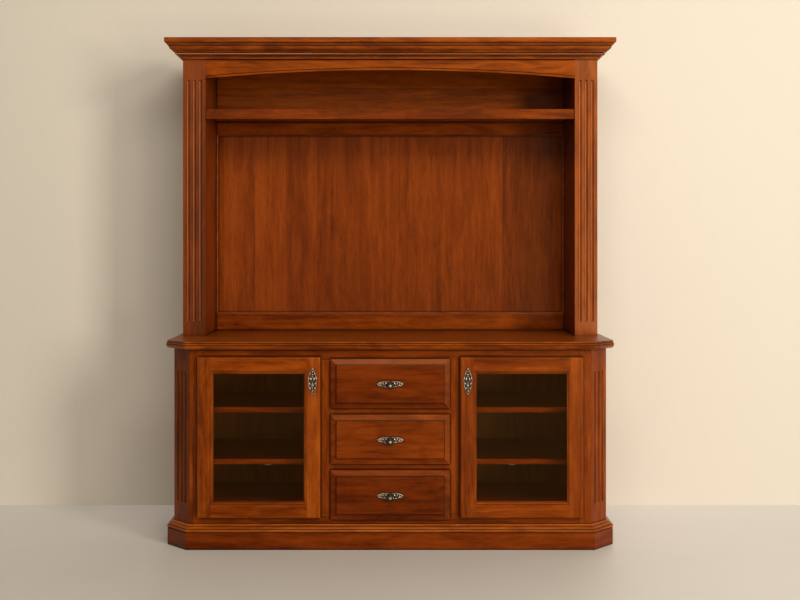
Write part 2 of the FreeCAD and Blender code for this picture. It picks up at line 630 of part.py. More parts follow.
def make_door():
    """The left door's stiles, rails, glass, glass stops and hinge cups."""
    left, right, low, high = sight_line()
    ring = block(-DOOR_OUTER_X, -DOOR_INNER_X, DOOR_BOTTOM, DOOR_TOP, 0, BOARD)
    ring = ring.cut(block(left, right, low, high, -OVERRUN, BOARD + OVERRUN))
    rabbet = around((left, right, low, high), RABBET_WIDTH)
    ring = ring.cut(block(rabbet[0][0], rabbet[2][0], rabbet[0][1], rabbet[2][1], -OVERRUN, RABBET_DEPTH))
    sight = around((left, right, low, high), 0)
    ring = ring.cut(mitred_runs(sight, face_steps(STICKING_SHARES, STICKING_WIDTH), True))
    edge = around((-DOOR_OUTER_X, -DOOR_INNER_X, DOOR_BOTTOM, DOOR_TOP), 0)
    ring = ring.cut(mitred_runs(edge, face_steps(DOOR_EDGE_SHARES, DOOR_EDGE), True))
    stiles = []
    rails = ring
    for outer, sight, way in ((-DOOR_OUTER_X, left, -1), (-DOOR_INNER_X, right, 1)):
        region = prism(stile_plan(outer, sight + way * STICKING_WIDTH, sight), -OVERRUN, BOARD + OVERRUN)
        stiles.append(ring.common(region).Solids[0])
        rails = rails.cut(region)
    cups = []
    for height in hinge_heights():
        place = FreeCAD.Vector(-DOOR_OUTER_X + HINGE_CUP_INSET, height, 0)
        pocket = Part.makeCylinder(HINGE_CUP_RADIUS, HINGE_CUP_DEPTH, place)
        stiles[0] = stiles[0].cut(pocket)
        depth = HINGE_CUP_DEPTH - HINGE_CUP_WALL + OVERRUN
        hollow = Part.makeCylinder(HINGE_CUP_RADIUS - HINGE_CUP_WALL, depth, place - Z_AXIS * OVERRUN)
        cups.append(pocket.cut(hollow))
    pane = around((left, right, low, high), RABBET_WIDTH - GLASS_SIDE_CLEARANCE)
    glass = block(pane[0][0], pane[2][0], pane[0][1], pane[2][1], RABBET_DEPTH - GLASS_THICK, RABBET_DEPTH)
    back = RABBET_DEPTH - GLASS_THICK
    steps = [(-GLASS_STOP_WIDTH, back - GLASS_STOP_DEPTH), (0, back - GLASS_STOP_DEPTH), (0, back),
             (-GLASS_STOP_WIDTH, back)]
    stops = mitred_runs(rabbet, steps, True)
    groups = {"stiles": stiles, "rails": rails.Solids, "glass": [glass], "glass_stops": stops,
              "hinge_cups": cups}
    return {name: [stood_up(piece, DOOR_BACK_Y) for piece in pieces] for name, pieces in groups.items()}


def make_door_pull():
    """The left door's cast pull: a pointed oval with a raised rim, pierced, and a small round finger boss."""
    half = plate_half(DOOR_PULL_SHARES, DOOR_PULL_WIDTH, DOOR_PULL_LENGTH, BOARD, PULL_PLATE_THICK)
    plate = fused([half, mirrored(half)])
    for x, y, size in DOOR_PULL_HOLE_SHARES:
        for way in ((-1, 1) if x else (1,)):
            place = FreeCAD.Vector(way * x * DOOR_PULL_WIDTH, y * DOOR_PULL_LENGTH, BOARD - OVERRUN)
            depth = 2 * OVERRUN + PULL_PLATE_THICK
            plate = plate.cut(Part.makeCylinder(size * DOOR_PULL_LENGTH, depth, place))
    boss = revolved(KNOB_SHARES, DOOR_PULL_BOSS_RADIUS, DOOR_PULL_BOSS_REACH, BOARD + PULL_PLATE_THICK)
    boss.translate(-Y_AXIS * DOOR_PULL_LENGTH * DOOR_PULL_BOSS_DROP_SHARE)
    pull = stood_up(fused([plate, boss]), DOOR_BACK_Y)
    height = DOOR_TOP - DOOR_PULL_DROP - DOOR_PULL_LENGTH / 2
    pull.translate(FreeCAD.Vector(-DOOR_INNER_X - DOOR_PULL_INSET, 0, height))
    return pull


def make_hinge_arms():
    """The fixed halves of the hinges, on the inner edges of the face frame."""
    arms = []
    x = -OPENING_OUTER_X
    rear = FRAME_BACK_Y
    for height in hinge_heights():
        plate = block(x, x + HINGE_PLATE_THICK, FACE_Y, rear, height - HINGE_PLATE_HEIGHT / 2,
                      height + HINGE_PLATE_HEIGHT / 2)
        arm = block(x, x + HINGE_ARM_WIDTH, DOOR_BACK_Y - HINGE_ARM_REACH, rear,
                    height - HINGE_ARM_HEIGHT / 2, height + HINGE_ARM_HEIGHT / 2)
        left = fused([plate, arm])
        arms += [left, mirrored(left)]
    return arms


def make_bumpers():
    """The small rubber pads on the mullions, behind the closing edges of the doors."""
    pads = []
    x = DOOR_INNER_X + OVERLAY / 2
    for height in (DOOR_BOTTOM + BUMPER_END_DISTANCE, DOOR_TOP - BUMPER_END_DISTANCE):
        for place in (-x, x):
            start = FreeCAD.Vector(place, FACE_Y, height)
            pads.append(Part.makeCylinder(BUMPER_RADIUS, BUMPER_THICK, start, -Y_AXIS))
    return pads


def make_hutch_side():
    """The hutch's left side: an outer panel, and an inner panel that lines the column."""
    outer = block(-HALF, -HALF + PANEL, HUTCH_BOARD_Y, REAR_Y, COUNTER_HEIGHT, HUTCH_CASE_TOP)
    outer = outer.cut(make_left_screws())
    inner = block(-HUTCH_INNER_X - PANEL, -HUTCH_INNER_X, HUTCH_BOARD_Y, HUTCH_BACK_Y, COUNTER_HEIGHT,
                  HUTCH_CASE_TOP - PANEL)
    return [outer, inner]


def make_pilaster():
    """The left fluted pilaster on the front of the hutch."""
    board = block(-HALF, -HUTCH_INNER_X, HUTCH_Y, HUTCH_BOARD_Y, COUNTER_HEIGHT, HUTCH_CASE_TOP)
    middle = FreeCAD.Vector(-(HALF + HUTCH_INNER_X) / 2, HUTCH_Y, 0)
    return fluted(board, middle, X_AXIS, -Y_AXIS, COUNTER_HEIGHT + PILASTER_FLUTE_RISE, PILASTER_FLUTE_TOP)


def arch(lift):
    """The header's arched line, raised by lift, as steps from left to right."""
    end = ARCH_END_HEIGHT + lift
    return [(-HUTCH_INNER_X, end), (0, end + ARCH_RISE, HUTCH_INNER_X, end)]


def make_header():
    """The arched header between the pilasters, with a bead worked along its lower edge."""
    outline = arch(0) + [(HUTCH_INNER_X, HUTCH_CASE_TOP), (-HUTCH_INNER_X, HUTCH_CASE_TOP)]
    board = prism(outline, 0, BOARD)
    top = arch(ARCH_BEAD_WIDTH + ARCH_QUIRK_WIDTH)
    end = ARCH_END_HEIGHT + ARCH_BEAD_WIDTH
    low = [(HUTCH_INNER_X, end), (0, end + ARCH_RISE, -HUTCH_INNER_X, end)]
    quirk = prism(top + low, BOARD - ARCH_QUIRK_DEPTH, BOARD + OVERRUN)
    return stood_up(board.cut(quirk), HUTCH_BOARD_Y)


def make_hutch_shelf():
    """The fixed shelf under the arch: a board and the deeper strip along its front."""
    nose_front = HUTCH_Y + HUTCH_NOSE_SETBACK
    nose = block(-HUTCH_INNER_X, HUTCH_INNER_X, nose_front, nose_front + BOARD,
                 HUTCH_SHELF_TOP - HUTCH_SHELF_NOSE, HUTCH_SHELF_TOP)
    board = block(-HUTCH_INNER_X, HUTCH_INNER_X, nose_front + BOARD, HUTCH_BACK_Y,
                  HUTCH_SHELF_TOP - HUTCH_SHELF_THICK, HUTCH_SHELF_TOP)
    return [nose, board]


def make_hutch_top():
    """The board that closes the hutch above."""
    return block(-HALF + PANEL, HALF - PANEL, HUTCH_BOARD_Y, REAR_Y - BACK_INSET,
                 HUTCH_CASE_TOP - PANEL, HUTCH_CASE_TOP)


def make_back_frame():
    """Bottom rail, top rail and stiles of the hutch's framed back."""
    edge = HALF - PANEL
    rear = HUTCH_PANEL_Y + BACK_PANEL_THICK
    rails = [block(-edge, edge, HUTCH_BACK_Y, rear, COUNTER_HEIGHT, BACK_RAIL_TOP),
             block(-edge, edge, HUTCH_BACK_Y, rear, BACK_TOP_RAIL_BOTTOM, BACK_TOP_RAIL_TOP)]
    stile = block(-edge, -HUTCH_INNER_X, HUTCH_BACK_Y, rear, BACK_RAIL_TOP, BACK_TOP_RAIL_BOTTOM)
    return rails + [stile, mirrored(stile)]


def make_back_panel():
    """The planked panel behind the open bay."""
    return block(-HUTCH_INNER_X, HUTCH_INNER_X, HUTCH_PANEL_Y, HUTCH_PANEL_Y + BACK_PANEL_THICK,
                 BACK_RAIL_TOP, BACK_TOP_RAIL_BOTTOM)


def make_back_beads():
    """Four mitred beads that frame the planked panel."""
    limits = (-HUTCH_INNER_X, HUTCH_INNER_X, BACK_RAIL_TOP, BACK_TOP_RAIL_BOTTOM)
    steps = scaled(BACK_BEAD_SHARES, BACK_BEAD, BACK_BEAD)
    return [stood_up(piece, HUTCH_PANEL_Y) for piece in mitred_runs(around(limits, 0), steps, True)]


def make_upper_back():
    """The board behind the space over the shelf."""
    edge = HALF - PANEL
    return block(-edge, edge, HUTCH_BACK_Y, HUTCH_BACK_Y + UPPER_BACK_THICK, BACK_TOP_RAIL_TOP,
                 HUTCH_CASE_TOP - PANEL)


def hutch_path():
    """Plan corners of the hutch's outside, from the rear left round to the rear right."""
    return [(-HALF, REAR_Y), (-HALF, HUTCH_Y), (HALF, HUTCH_Y), (HALF, REAR_Y)]


def make_cornice():
    """Three mitred lengths of cornice."""
    steps = [tuple(value + (CORNICE_BOTTOM if place % 2 else 0) for place, value in enumerate(step))
             for step in scaled(CORNICE_SHARES, CORNICE_REACH, CORNICE_HEIGHT)]
    return mitred_runs(hutch_path(), steps)


def make_rope_bead():
    """Three mitred lengths of small rope bead in the seat of the cornice."""
    reach = BEAD_SEAT_SHARE * CORNICE_REACH
    low = CORNICE_BOTTOM + BEAD_HEIGHT_SHARES[0] * CORNICE_HEIGHT
    high = CORNICE_BOTTOM + BEAD_HEIGHT_SHARES[1] * CORNICE_HEIGHT
    steps = [(reach, low), (reach + BEAD_REACH, (low + high) / 2, reach, high)]
    return mitred_runs(hutch_path(), steps)


def make_left_screws():
    """The screws of the left joining plate."""
    screws = []
    for share in SCREW_PLACES_SHARES:
        start = FreeCAD.Vector(PLATE_X, REAR_Y - SCREW_LENGTH, PLATE_LOW + share * PLATE_LENGTH)
        shank = Part.makeCylinder(SCREW_RADIUS, SCREW_LENGTH + PLATE_THICK, start, Y_AXIS)
        face = start + Y_AXIS * (SCREW_LENGTH + PLATE_THICK)
        head = Part.makeCylinder(SCREW_HEAD_RADIUS, SCREW_HEAD, face, Y_AXIS)
        screws.append(fused([shank, head]))
    return screws


def make_joining_plates():
    """Two steel plates across the joint of hutch and base, and the screws that hold them."""
    screws = make_left_screws()
    plate = block(PLATE_X - PLATE_WIDTH / 2, PLATE_X + PLATE_WIDTH / 2, REAR_Y, REAR_Y + PLATE_THICK,
                  PLATE_LOW, PLATE_LOW + PLATE_LENGTH).cut(screws)
    return [plate, mirrored(plate)], screws + [mirrored(screw) for screw in screws]


def make_plinth_cap():
    """The five lengths of moulding on top of the plinth boards."""
    steps = [tuple(value + (PLINTH_HEIGHT if place % 2 else 0) for place, value in enumerate(step))
             for step in scaled(PLINTH_CAP_SHARES, PLINTH_CAP_REACH, PLINTH_CAP_HEIGHT)]
    return mitred_runs(case_plan(0), steps)


def save_pair(name, pieces):
    """Writes a left node and its mirror image as the right node."""
    save("left_" + name, pieces)
    save("right_" + name, [mirrored(piece) for piece in pieces])


def build_base():
    """Writes the nodes of the base cabinet."""
    save_pair("side_panel", [make_side_panel()])
    save_pair("corner_post", [make_corner_post()])
    stile = make_stile()
    save("face_frame_stiles", [stile, mirrored(stile)])
    mullion = make_mullion()
    save("face_frame_mullions", [mullion, mirrored(mullion)])
    save("face_frame_rails", make_frame_rails())
    save("cabinet_floor", [make_floor()])
    partition = make_partition()
    save("drawer_bay_partitions", [partition, mirrored(partition)])
    save("base_back_panel", [make_base_back()])
    save("countertop", [make_counter()])
    save("plinth_boards", make_plinth())
    save("plinth_cap", make_plinth_cap())
    save("cabinet_shelves", make_shelves())
    save("shelf_pegs", make_pegs())
    save("drawer_runners", make_runners())
    save("hinge_arms", make_hinge_arms())
    save("door_bumpers", make_bumpers())


def build_doors():
    """Writes the nodes of the two doors."""
    for name, pieces in make_door().items():
        save_pair("door_" + name, pieces)
    save_pair("door_pull", [make_door_pull()])


def build_drawers():
    """Writes the nodes of the drawers, from the bottom one up."""
    for index, name in enumerate(DRAWER_NAMES):
        save(name + "_drawer_front", [make_drawer_front(index)])
        boards, bottom = make_drawer_box(index)
        save(name + "_drawer_box", boards)
        save(name + "_drawer_bottom", [bottom])
        plate, knob = make_drawer_pull(index)
        save(name + "_drawer_pull_plate", [plate])
        save(name + "_drawer_knob", [knob])


def build_hutch():
    """Writes the nodes of the hutch."""
    save_pair("hutch_side", make_hutch_side())
    save_pair("pilaster", [make_pilaster()])
    save("arched_header", [make_header()])
    save("hutch_shelf", make_hutch_shelf())
    save("hutch_top", [make_hutch_top()])
    save("hutch_back_frame", make_back_frame())
    save("hutch_back_panel", [make_back_panel()])
    save("hutch_back_beads", make_back_beads())
    save("hutch_upper_back", [make_upper_back()])
    save("cornice", make_cornice())
    save("rope_bead", make_rope_bead())
    plates, screws = make_joining_plates()
    save("joining_plates", plates)
    save("joining_screws", screws)


os.makedirs("parts", exist_ok=True)
build_base()
build_doors()
build_drawers()
build_hutch()
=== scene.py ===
"""Entertainment centre: a cherry base cabinet with glazed doors and drawers, and an open hutch on top.

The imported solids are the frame. This script gives each of them its finish and its softened edges, builds the
cast pulls and the twisted bead under the cornice, and sets the room and its lamps.
"""

import logging
import math
import zlib
from dataclasses import dataclass
from enum import Enum
from typing import ClassVar, Dict, List, Optional, Sequence, Tuple, Union

import bmesh
import bpy
from mathutils import Matrix, Vector


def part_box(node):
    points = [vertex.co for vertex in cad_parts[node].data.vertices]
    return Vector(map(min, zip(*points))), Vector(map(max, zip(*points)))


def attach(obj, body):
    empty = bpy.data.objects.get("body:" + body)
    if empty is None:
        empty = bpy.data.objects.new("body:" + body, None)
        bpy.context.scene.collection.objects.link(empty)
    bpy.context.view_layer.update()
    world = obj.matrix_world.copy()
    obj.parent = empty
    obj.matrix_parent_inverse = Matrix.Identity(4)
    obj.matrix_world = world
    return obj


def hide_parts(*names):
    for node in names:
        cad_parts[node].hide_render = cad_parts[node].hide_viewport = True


Colour = Tuple[float, float, float]
Number = Union["Wire", float, Sequence[float]]
Point = Tuple[float, float]
Triple = Tuple[float, float, float]
Oval = Tuple[float, float, float, float, float]

LOG = logging.getLogger("entertainment_centre")
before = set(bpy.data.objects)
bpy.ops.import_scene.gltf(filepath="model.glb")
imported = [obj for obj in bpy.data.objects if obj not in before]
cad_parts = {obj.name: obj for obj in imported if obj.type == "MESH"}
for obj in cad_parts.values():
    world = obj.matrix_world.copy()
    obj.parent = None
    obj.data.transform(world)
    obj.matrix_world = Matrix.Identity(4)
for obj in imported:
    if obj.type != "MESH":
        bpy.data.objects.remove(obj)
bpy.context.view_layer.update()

# The layer in which a mesh marks its own recesses: patina on cast metal, painted shade in the cuts of the
# wooden rope bead.
PATINA_AND_SHADE = "patina_and_shade"
# Left and right along X.
BOTH_WAYS = (-1, 1)
# How fast the figure changes along the grain, against 1 across it.
DRAWN_OUT = 0.06


class Grain(Enum):
    """Which way a board's grain runs: how fast the figure changes along X, Y and Z."""

    UPRIGHT = (1.0, 1.0, DRAWN_OUT)
    LEVEL = (DRAWN_OUT, 1.0, 1.0)
    AROUND = (DRAWN_OUT, DRAWN_OUT, 1.0)
    DEEP = (1.0, DRAWN_OUT, 1.0)


class Side(Enum):
    """Left or right half of the cabinet, as the front is looked at."""

    LEFT = "left"
    RIGHT = "right"

    @property
    def sign(self) -> int:
        """-1 on the left and 1 on the right."""
        return -1 if self is Side.LEFT else 1


class Wire:
    """One socket of a finish's nodes. Python's operators on it add the nodes that work the result out."""

    def __init__(self, board: "Board", socket: bpy.types.NodeSocket) -> None:
        """Args: board, the nodes that it belongs to, and socket, the output that it stands for."""
        self.board = board
        self.socket = socket

    @staticmethod
    def _is_vector(value: Number) -> bool:
        """Whether a value has three parts."""
        return isinstance(value, (tuple, list)) or (isinstance(value, Wire) and value.socket.type == "VECTOR")

    def _worked(self, operation: str, *values: Number) -> "Wire":
        """Adds a Math node, or a Vector Math node where one of the values is a vector.

        Args:
            operation: what the node does.
            values: what it works on, in order.

        Returns:
            The result.
        """
        kind = "ShaderNodeMath"
        if any(self._is_vector(value) for value in values):
            kind = "ShaderNodeVectorMath"
            values = [(value,) * 3 if isinstance(value, (int, float)) else value for value in values]
        return self.board.wire(kind, {"operation": operation}, dict(enumerate(values)))

    def __add__(self, other: Number) -> "Wire":
        """self + other."""
        return self._worked("ADD", self, other)

    def __radd__(self, other: Number) -> "Wire":
        """other + self."""
        return self._worked("ADD", other, self)

    def __sub__(self, other: Number) -> "Wire":
        """self - other."""
        return self._worked("SUBTRACT", self, other)

    def __rsub__(self, other: Number) -> "Wire":
        """other - self."""
        return self._worked("SUBTRACT", other, self)

    def __mul__(self, other: Number) -> "Wire":
        """self * other."""
        return self._worked("MULTIPLY", self, other)

    def __rmul__(self, other: Number) -> "Wire":
        """other * self."""
        return self._worked("MULTIPLY", other, self)

    def __truediv__(self, other: Number) -> "Wire":
        """self / other."""
        return self._worked("DIVIDE", self, other)

    def __rtruediv__(self, other: Number) -> "Wire":
        """other / self."""
        return self._worked("DIVIDE", other, self)

    def __abs__(self) -> "Wire":
        """Its size, without its sign."""
        return self._worked("ABSOLUTE", self)

    def larger(self, other: Number) -> "Wire":
        """The larger of it and other."""
        return self._worked("MAXIMUM", self, other)

    def floored(self) -> "Wire":
        """The whole number below it."""
        return self._worked("FLOOR", self)

    def clamped(self) -> "Wire":
        """Held between 0 and 1."""
        return self.board.wire("ShaderNodeClamp", {}, {"Value": self})


class Board:
    """The nodes of one finish, or of the sky."""

    def __init__(self, owner: Union[bpy.types.Material, bpy.types.World]) -> None:
        """Args: owner, the material or world that gets the nodes."""
        owner.use_nodes = True
        self.owner = owner
        self.tree = owner.node_tree
        self.tree.nodes.clear()

    @classmethod
    def of_finish(cls, name: str) -> "Board":
        """The nodes of a new material."""
        return cls(bpy.data.materials.new(name))

    def node(self, kind: str, settings: Dict[str, object],
             inputs: Dict[Union[str, int], Number]) -> bpy.types.Node:
        """Adds a node.

        Args:
            kind: the node's type.
            settings: its own settings, set first; "stops" holds a ramp's (place, colour) pairs.
            inputs: values or wires of its sockets, by name or number.

        Returns:
            The new node.
        """
        made = self.tree.nodes.new(kind)
        for name, value in settings.items():
            if name == "stops":
                self._stops(made.color_ramp, value)
            else:
                setattr(made, name, value)
        for key, value in inputs.items():
            if isinstance(value, Wire):
                self.tree.links.new(value.socket, made.inputs[key])
            else:
                made.inputs[key].default_value = value
        return made

    @staticmethod
    def _stops(ramp: bpy.types.ColorRamp, stops: Sequence[Tuple[float, Colour]]) -> None:
        """Fills a colour ramp.

        Args:
            ramp: the ramp.
            stops: its (place, colour) pairs, from 0 to 1.
        """
        while len(ramp.elements) < len(stops):
            ramp.elements.new(1.0)
        for element, (place, colour) in zip(ramp.elements, stops):
            element.position = place
            element.color = (*colour, 1.0)

    def wire(self, kind: str, settings: Dict[str, object], inputs: Dict[Union[str, int], Number],
             output: Union[str, int] = 0) -> Wire:
        """Adds a node and gives one of its outputs."""
        return Wire(self, self.node(kind, settings, inputs).outputs[output])

    def place(self) -> Wire:
        """The point on the piece, in metres, which moves with the piece."""
        return self.wire("ShaderNodeTexCoord", {}, {}, "Object")

    def part(self, vector: Wire, axis: str) -> Wire:
        """The X, Y or Z of a vector."""
        return self.wire("ShaderNodeSeparateXYZ", {}, {0: vector}, axis)

    def joined(self, x: Number, y: Number, z: Number) -> Wire:
        """A vector from three numbers."""
        return self.wire("ShaderNodeCombineXYZ", {}, {0: x, 1: y, 2: z})

    def cloud(self, place: Wire, scale: float, detail: float, roughness: float = 0.55,
              distortion: float = 0.0) -> Wire:
        """Soft noise between 0 and 1."""
        return self.wire("ShaderNodeTexNoise", {}, {"Vector": place, "Scale": scale, "Detail": detail,
                                                    "Roughness": roughness, "Distortion": distortion}, "Fac")

    def patina_and_shade(self) -> Wire:
        """How deep in a recess a point is, as its mesh marks it: patina on metal, painted shade in wood."""
        return self.wire("ShaderNodeAttribute", {"attribute_name": PATINA_AND_SHADE}, {}, "Fac")

    def open_sky(self, reach: float, own: bool = False) -> Wire:
        """How open a point is within a reach in metres, 0 deep in a crease; own leaves other pieces out."""
        return self.wire("ShaderNodeAmbientOcclusion", {"samples": 10, "only_local": own}, {"Distance": reach},
                         "AO")

    def mixed(self, factor: Number, first: Union[Wire, Colour], second: Union[Wire, Colour]) -> Wire:
        """Mixes two colours.

        Args:
            factor: 0 for the first and 1 for the second.
            first: a colour.
            second: another.

        Returns:
            The mixed colour.
        """
        pair = [value if isinstance(value, Wire) else (*value, 1.0) for value in (first, second)]
        return self.wire("ShaderNodeMix", {"data_type": "RGBA"}, {0: factor, 6: pair[0], 7: pair[1]}, 2)

    def ramp(self, value: Wire, stops: Sequence[Tuple[float, Colour]]) -> Wire:
        """A value turned into a colour between stops."""
        return self.wire("ShaderNodeValToRGB", {"stops": stops}, {0: value}, "Color")

    def bump(self, height: Wire, strength: float, distance: float) -> Wire:
        """A normal roughened by a height."""
        return self.wire("ShaderNodeBump", {}, {"Height": height, "Strength": strength, "Distance": distance},
                         "Normal")

    def shader(self, **inputs: Number) -> Wire:
        """Adds a Principled shader.

        Args:
            inputs: values or wires of its sockets; underscores in the names stand for spaces.

        Returns:
            The shader.
        """
        named = {name.replace("_", " "): value for name, value in inputs.items()}
        return self.wire("ShaderNodeBsdfPrincipled", {}, named)

    def clear(self, colour: Colour = (1.0, 1.0, 1.0)) -> Wire:
        """A shader that lets light through, tinted."""
        return self.wire("ShaderNodeBsdfTransparent", {}, {"Color": (*colour, 1.0)})

    def layered(self, factor: Number, first: Wire, second: Wire) -> Wire:
        """Two shaders mixed by a factor."""
        return self.wire("ShaderNodeMixShader", {}, {0: factor, 1: first, 2: second})

    def ended(self, shader: Wire) -> Union[bpy.types.Material, bpy.types.World]:
        """Ends the nodes in a shader.

        Args:
            shader: what the surface, or the sky, shows.

        Returns:
            The finished material or world.
        """
        world = isinstance(self.owner, bpy.types.World)
        self.node("ShaderNodeOutputWorld" if world else "ShaderNodeOutputMaterial", {}, {0: shader})
        return self.owner


@dataclass(frozen=True)
class Cherry:
    """Reddish cherry under a satin lacquer.

    Attributes:
        grain: the way that the boards run.
        seed: shifts the figure, so that two nodes aren't cut from one board.
        tone: how light the boards are.
        plank: width of the boards glued side by side, in metres, or 0 for one board.
        coat: how much the lacquer shines.
        figured: how strong the cloudy figure is.
        crease_shade: how dark the shade painted into creases, and into narrow gaps next to other pieces, is.
        shade_behind_y: Y behind which the board is painted darker as shade, leaving its front edge lit, or
            None.
        behind_shade: how dark that painted shade is, from 0 to 1.
        carved: whether the mesh marks cuts of its own, which get painted shade.
        gloss: how strongly the wood under the lacquer shines.
        sheen: colour of that shine.
        field: X, Z, half width and half height of a raised field that has a line of painted shade round it, or
            None.
    """

    grain: Grain
    seed: float = 0.0
    tone: float = 1.0
    plank: float = 0.0
    coat: float = 0.05
    figured: float = 1.0
    crease_shade: float = 0.85
    shade_behind_y: Optional[float] = None
    behind_shade: float = 1.0
    carved: bool = False
    gloss: float = 0.34
    sheen: Colour = (1.0, 0.40, 0.12)
    field: Optional[Tuple[float, float, float, float]] = None

    # The stain from its darkest to its lightest, and what darkens it: pores, painted shade in creases, and
    # painted shade behind a lit front edge. All are linear.
    DARK = (0.086, 0.0110, 0.0005)
    MIDDLE = (0.178, 0.0285, 0.0012)
    LIGHT = (0.278, 0.0530, 0.0036)
    PORE = (0.040, 0.0050, 0.0003)
    CREASE_SHADE_COLOUR = (0.0100, 0.0014, 0.0002)
    BEHIND_SHADE_COLOUR = (0.020, 0.0050, 0.0008)

    # What each noise adds to the figure; the second streaks go with how strong the cloudy figure is.
    BROAD, MOTTLE, STREAK, FIGURED_STREAK, FIBRE = 0.34, 0.42, 0.18, 0.12, 0.18

    # The middle of the stain's ramp, what the cloudy figure adds to it, and the ramp's reach to both sides.
    MIDDLE_PLACE, FIGURED_PLACE = 0.35, 0.27
    DARK_BELOW, LIGHT_ABOVE = 0.10, 0.11

    # How the figure is shifted by the seed and from board to board, and how much lighter a board can be.
    SEED_SHIFT = (3.1, 1.7, 5.3)
    BOARD_SHIFT = (2.3, 4.1, 3.7)
    BOARD_SHADE = 0.05

    # How far the painted shade of a crease reaches, and the painted shade line round a raised field, in
    # metres.
    CREASE_REACH = 0.010
    SHADE_LINE_OUTSIDE = 0.0014
    SHADE_LINE_HALF_WIDTH = 0.0028

    def material(self) -> bpy.types.Material:
        """Builds the finish's nodes.

        Returns:
            The finish as a material.
        """
        board = Board.of_finish(f"cherry_{self.grain.name.lower()}_{self.seed:.2f}")
        place, shade = self._glued(board)
        drawn = place * self.grain.value
        streak = board.cloud(drawn, scale=62.0, detail=4.0, roughness=0.62, distortion=0.5)
        fibre = board.cloud(drawn, scale=420.0, detail=2.0, roughness=0.6)
        pores = ((board.cloud(drawn, scale=900.0, detail=1.0, roughness=0.5) - 0.60) * 7.0).clamped() * 0.40
        wood = self._stained(board, place, streak, fibre * self.FIBRE + shade)
        wood = board.mixed(pores, wood, self._toned(self.PORE))
        # Painted shade: behind its front edge the board is darkened, for the shade on its top.
        if self.shade_behind_y is not None:
            behind = ((board.part(board.place(), "Y") - self.shade_behind_y) * 400.0).clamped() * self.behind_shade
            wood = board.mixed(behind, wood, self.BEHIND_SHADE_COLOUR)
        return board.ended(board.shader(
            Base_Color=board.mixed(self._painted_shade(board), wood, self.CREASE_SHADE_COLOUR),
            Roughness=streak * 0.16 + 0.27,
            Specular_IOR_Level=self.gloss,
            Specular_Tint=(*self.sheen, 1.0),
            Coat_Weight=self.coat,
            Coat_Roughness=0.13,
            Coat_IOR=1.4,
            Normal=board.bump(streak + fibre * 0.5 - pores * 0.8, strength=0.12, distance=0.0005),
        ))

    def _glued(self, board: Board) -> Tuple[Wire, Number]:
        """Shifts the figure, board by board where several are glued side by side.

        Args:
            board: the finish's nodes.

        Returns:
            The point of the figure that a point of the piece shows, and how much lighter its board is.
        """
        place = board.place() + tuple(self.seed * shift for shift in self.SEED_SHIFT)
        if not self.plank:
            return place, 0.0
        across = board.part(place, "X" if self.grain is Grain.UPRIGHT else "Z")
        index = (across / self.plank).floored()
        drift = board.wire("ShaderNodeTexWhiteNoise", {"noise_dimensions": "1D"}, {"W": index + self.seed},
                           "Value")
        shifted = place + board.joined(*(drift * shift for shift in self.BOARD_SHIFT))
        return shifted, (drift - 0.5) * self.BOARD_SHADE

    def _stained(self, board: Board, place: Wire, streak: Wire, fine: Wire) -> Wire:
        """Works out the stained wood's colour, before pores and glaze.

        Args:
            board: the finish's nodes.
            place: the point of the figure.
            streak: the streaks along the grain.
            fine: the fibres, and the shade of each board.

        Returns:
            The colour.
        """
        drawn = place * self.grain.value
        short = place * tuple(math.sqrt(share) for share in self.grain.value)
        broad = board.cloud(drawn, scale=6.0, detail=2.0, roughness=0.5, distortion=0.6)
        mottle = board.cloud(short, scale=19.0, detail=4.0, roughness=0.58, distortion=1.1)
        figure = broad * self.BROAD + mottle * (self.MOTTLE * self.figured)
        figure = figure + streak * (self.STREAK + self.FIGURED_STREAK * self.figured) + fine
        middle = self.MIDDLE_PLACE + self.FIGURED_PLACE * self.figured
        return board.ramp(figure, [(middle - self.DARK_BELOW, self._toned(self.DARK)),
                                   (middle, self._toned(self.MIDDLE)),
                                   (middle + self.LIGHT_ABOVE, self._toned(self.LIGHT))])

    def _painted_shade(self, board: Board) -> Wire:
        """Finds where shade is painted: in creases and narrow gaps, in cuts that the mesh marks, and round a
        raised field.

        Args:
            board: the finish's nodes.

        Returns:
            How much painted shade there is, from 0 to 1.
        """
        # Painted shade: darkest where a crease or a gap to another piece half closes a point in, none in the
        # open and none where it is fully hidden.
        bare = board.open_sky(self.CREASE_REACH)
        crease = ((0.95 - bare) * 4.0).clamped() * ((bare - 0.03) * 14.0).clamped() * self.crease_shade
        # Painted shade in the cuts that the mesh marks, as in the rope bead.
        if self.carved:
            crease = (crease * 0.5 + board.patina_and_shade()).clamped()
        if self.field is not None:
            crease = (crease + self._field_shade_line(board) * 1.1).clamped()
        return crease

    def _field_shade_line(self, board: Board) -> Wire:
        """Paints a thin line of shade just outside the raised field.

        Args:
            board: the finish's nodes.

        Returns:
            1 in the line's middle and 0 elsewhere.
        """
        x, z, half_x, half_z = self.field
        place = board.place()
        over_x = abs(board.part(place, "X") - x) - half_x
        over_z = abs(board.part(place, "Z") - z) - half_z
        off = abs(over_x.larger(over_z) - self.SHADE_LINE_OUTSIDE)
        return (1.0 - off / self.SHADE_LINE_HALF_WIDTH).clamped()

    def _toned(self, colour: Colour) -> Colour:
        """A colour of the stain at this finish's tone, yellower where it is lighter."""
        warmth = self.tone ** 1.5
        return (colour[0] * self.tone, colour[1] * warmth, colour[2] * warmth)


